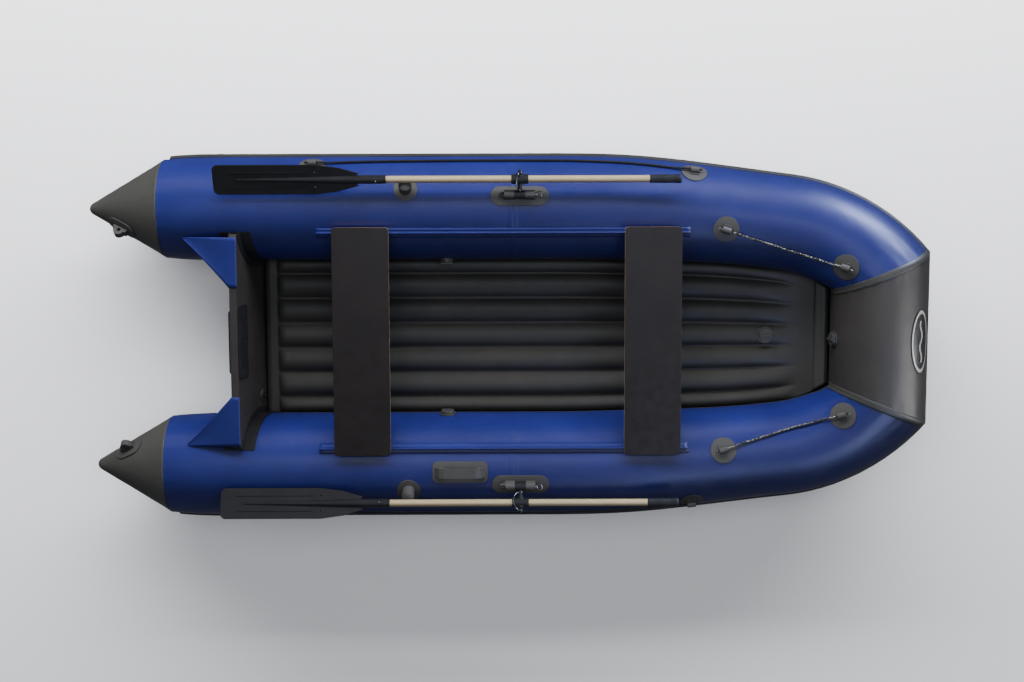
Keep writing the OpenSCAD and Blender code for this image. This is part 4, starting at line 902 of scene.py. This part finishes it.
def smooth_path(points, step):
    """Points along a Catmull-Rom curve through the given ones, about step apart, with the length so far."""
    knots = [Vector(p) / 1000 for p in points]
    knots = [2 * knots[0] - knots[1]] + knots + [2 * knots[-1] - knots[-2]]
    path, run = [], 0.0
    for i in range(1, len(knots) - 2):
        a, b, c, d = knots[i - 1:i + 3]
        pieces = max(1, round((c - b).length / step))
        for k in range(pieces + (i == len(knots) - 3)):
            t = k / pieces
            p = 0.5 * (2 * b + (c - a) * t + (2 * a - 5 * b + 4 * c - d) * t * t + (3 * b - a - 3 * c + d) * t ** 3)
            if path:
                run += (p - path[-1][0]).length
            path.append((p, run))
    return path


def laid_rope(name, points, side, material, replaced):
    """Three-strand laid rope: three strands twisted about the rope's own line."""
    path = smooth_path([(x, side * y, z) for x, y, z in points], 0.0022)
    around, twist = 18, 0.034
    rows, uv = [], []
    for i, (p, run) in enumerate(path):
        ahead = path[min(i + 1, len(path) - 1)][0] - path[max(i - 1, 0)][0]
        ahead.normalize()
        across = Vector((0, 0, 1)).cross(ahead).normalized()
        up = ahead.cross(across)
        end = min(run, path[-1][1] - run)
        shrink = 0.4 + 0.6 * smooth(end / 0.004)
        row = []
        for k in range(around):
            a = 2 * math.pi * k / around
            lobe = abs(math.cos(1.5 * (a - 2 * math.pi * run / twist)))
            r = ROPE_R * (0.74 + 0.26 * lobe ** 0.7) * shrink
            row.append(p + r * (math.cos(a) * across + math.sin(a) * up))
        rows.append([tuple(q) for q in row])
        uv.append([(run, k / around) for k in range(around + 1)])
    piece = sweep(name, rows, uv, material)
    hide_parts(replaced)


def make_ropes():
    laid_rope("port_flank_rope", PORT_FLANK, 1, MATERIALS["black_rope"], "flank_ropes")
    laid_rope("starboard_flank_rope", STARBOARD_FLANK, -1, MATERIALS["black_rope"], "flank_ropes")
    for name, side in SIDES.items():
        laid_rope(f"{name}_bow_rope", BOW_ROPE, side, MATERIALS["flecked_rope"], "bow_ropes")


make_ropes()
make_tubes()
make_bow_tube()
make_bow_tapes()
make_cones()
make_strake()
make_floor()
make_cockpit_tape()
make_bow_band()
make_bottom()
make_webs()
make_baffles()
make_gussets()
make_rails()

# ---- CAD nodes that stay: material and soft edges ----
KEPT = {
    "strake": ["keel_strip"],
    "wood": ["transom_board"],
    "seat": ["rear_seat_board", "front_seat_board"],
    "black": ["transom_holders", "outer_motor_pad", "inner_motor_pad", "drain_plug", "rear_seat_sliders",
              "front_seat_sliders", "port_oarlock_swivel", "starboard_oarlock_swivel", "port_oar_blade",
              "starboard_oar_blade", "port_oar_collar", "starboard_oar_collar"],
    "black_rubber": ["port_oar_grip", "starboard_oar_grip"],
    "rubber": ["port_oarlock_base", "starboard_oarlock_base", "oar_clips", "carry_handle", "rope_eyes",
               "stern_tow_eyes"],
    "grey_plastic": ["drain_valve_body", "valve_bodies", "port_valve_cap", "starboard_valve_cap",
                     "bow_valve_cap", "floor_valve_cap"],
    "steel": ["motor_pad_screws", "oarlock_axles", "port_oar_bail", "starboard_oar_bail", "port_oar_button",
              "starboard_oar_button"],
    "champagne": ["port_oar_shaft_lower", "starboard_oar_shaft_lower", "port_oar_shaft_upper",
                  "starboard_oar_shaft_upper"],
    "badge": ["bow_badge"],
}
OBJECT_SPACE = {"strake": moulded("keel_rubber", (0.019, 0.019, 0.0185))}


def dress(name, material):
    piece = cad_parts[name]
    piece.data.materials.clear()
    piece.data.materials.append(material)


for kind, names in KEPT.items():
    for name in names:
        dress(name, OBJECT_SPACE.get(kind, MATERIALS.get(kind)))

for name in KEPT["seat"]:
    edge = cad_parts[name].modifiers.new("rounded_over", "BEVEL")
    edge.width = 0.004
    edge.segments = 3
    edge.limit_method = "ANGLE"


# ---- Floor and light ----
PALE_BLUE = (0.74, 0.82, 1.0)
SKY_BLUE = (0.5, 0.6, 1.0)


def area_light(name, place, size, power, target, spread_light=True, mirrored=True, colour=(1, 1, 1)):
    """Soft box that lights matt surfaces, shows as a highlight, or both."""
    data = bpy.data.lights.new(name, "AREA")
    data.shape = "RECTANGLE"
    data.size, data.size_y = size
    data.energy = power
    data.color = colour
    lamp = bpy.data.objects.new(name, data)
    lamp.location = place
    lamp.rotation_euler = (Vector(target) - Vector(place)).to_track_quat("-Z", "Y").to_euler()
    lamp.visible_diffuse = spread_light
    lamp.visible_glossy = mirrored
    bpy.context.scene.collection.objects.link(lamp)


def make_stage():
    material, _, surface = shader("studio_floor")
    surface.inputs["Base Color"].default_value = (0.84, 0.85, 0.89, 1)
    surface.inputs["Roughness"].default_value = 0.95
    surface.inputs["Specular IOR Level"].default_value = 0.0
    mesh = bpy.data.meshes.new("studio_floor")
    reach = 30
    corners = [(-reach, -reach, 0), (reach, -reach, 0), (reach, reach, 0), (-reach, reach, 0)]
    mesh.from_pydata(corners, [], [(0, 1, 2, 3)])
    mesh.materials.append(material)
    floor = bpy.data.objects.new("studio_floor", mesh)
    floor.location.z = -0.0005
    bpy.context.scene.collection.objects.link(floor)
    floor.visible_diffuse = False
    floor.visible_glossy = False
    world = bpy.data.worlds.new("studio")
    world.use_nodes = True
    world.node_tree.nodes["Background"].inputs[0].default_value = (0.86, 0.9, 1.0, 1)
    world.node_tree.nodes["Background"].inputs[1].default_value = 0.12
    bpy.context.scene.world = world
    area_light("wash", (0, 4.4, 2.4), (12, 1.6), 1500, (0, 1.6, 0), mirrored=False)
    area_light("fill", (0, 0.6, 7.0), (10, 5), 300, (0, 0.6, 0), mirrored=False)
    area_light("overhead", (0.2, 1.6, 7.2), (4.5, 1.2), 70, (0, 0.3, 0.3), spread_light=False, colour=PALE_BLUE)
    area_light("bow_key", (3.4, 3.4, 1.2), (1.4, 1.6), 330, (1.2, 0.45, 0.3), spread_light=False, colour=SKY_BLUE)
    area_light("bow_edge", (3.6, -0.6, 1.5), (0.8, 2.0), 45, (1.4, 0.0, 0.35), spread_light=False)
    area_light("bow_side", (2.6, -2.6, 3.6), (2.4, 1.2), 80, (1.2, -0.5, 0.4), spread_light=False, colour=SKY_BLUE)


make_stage()
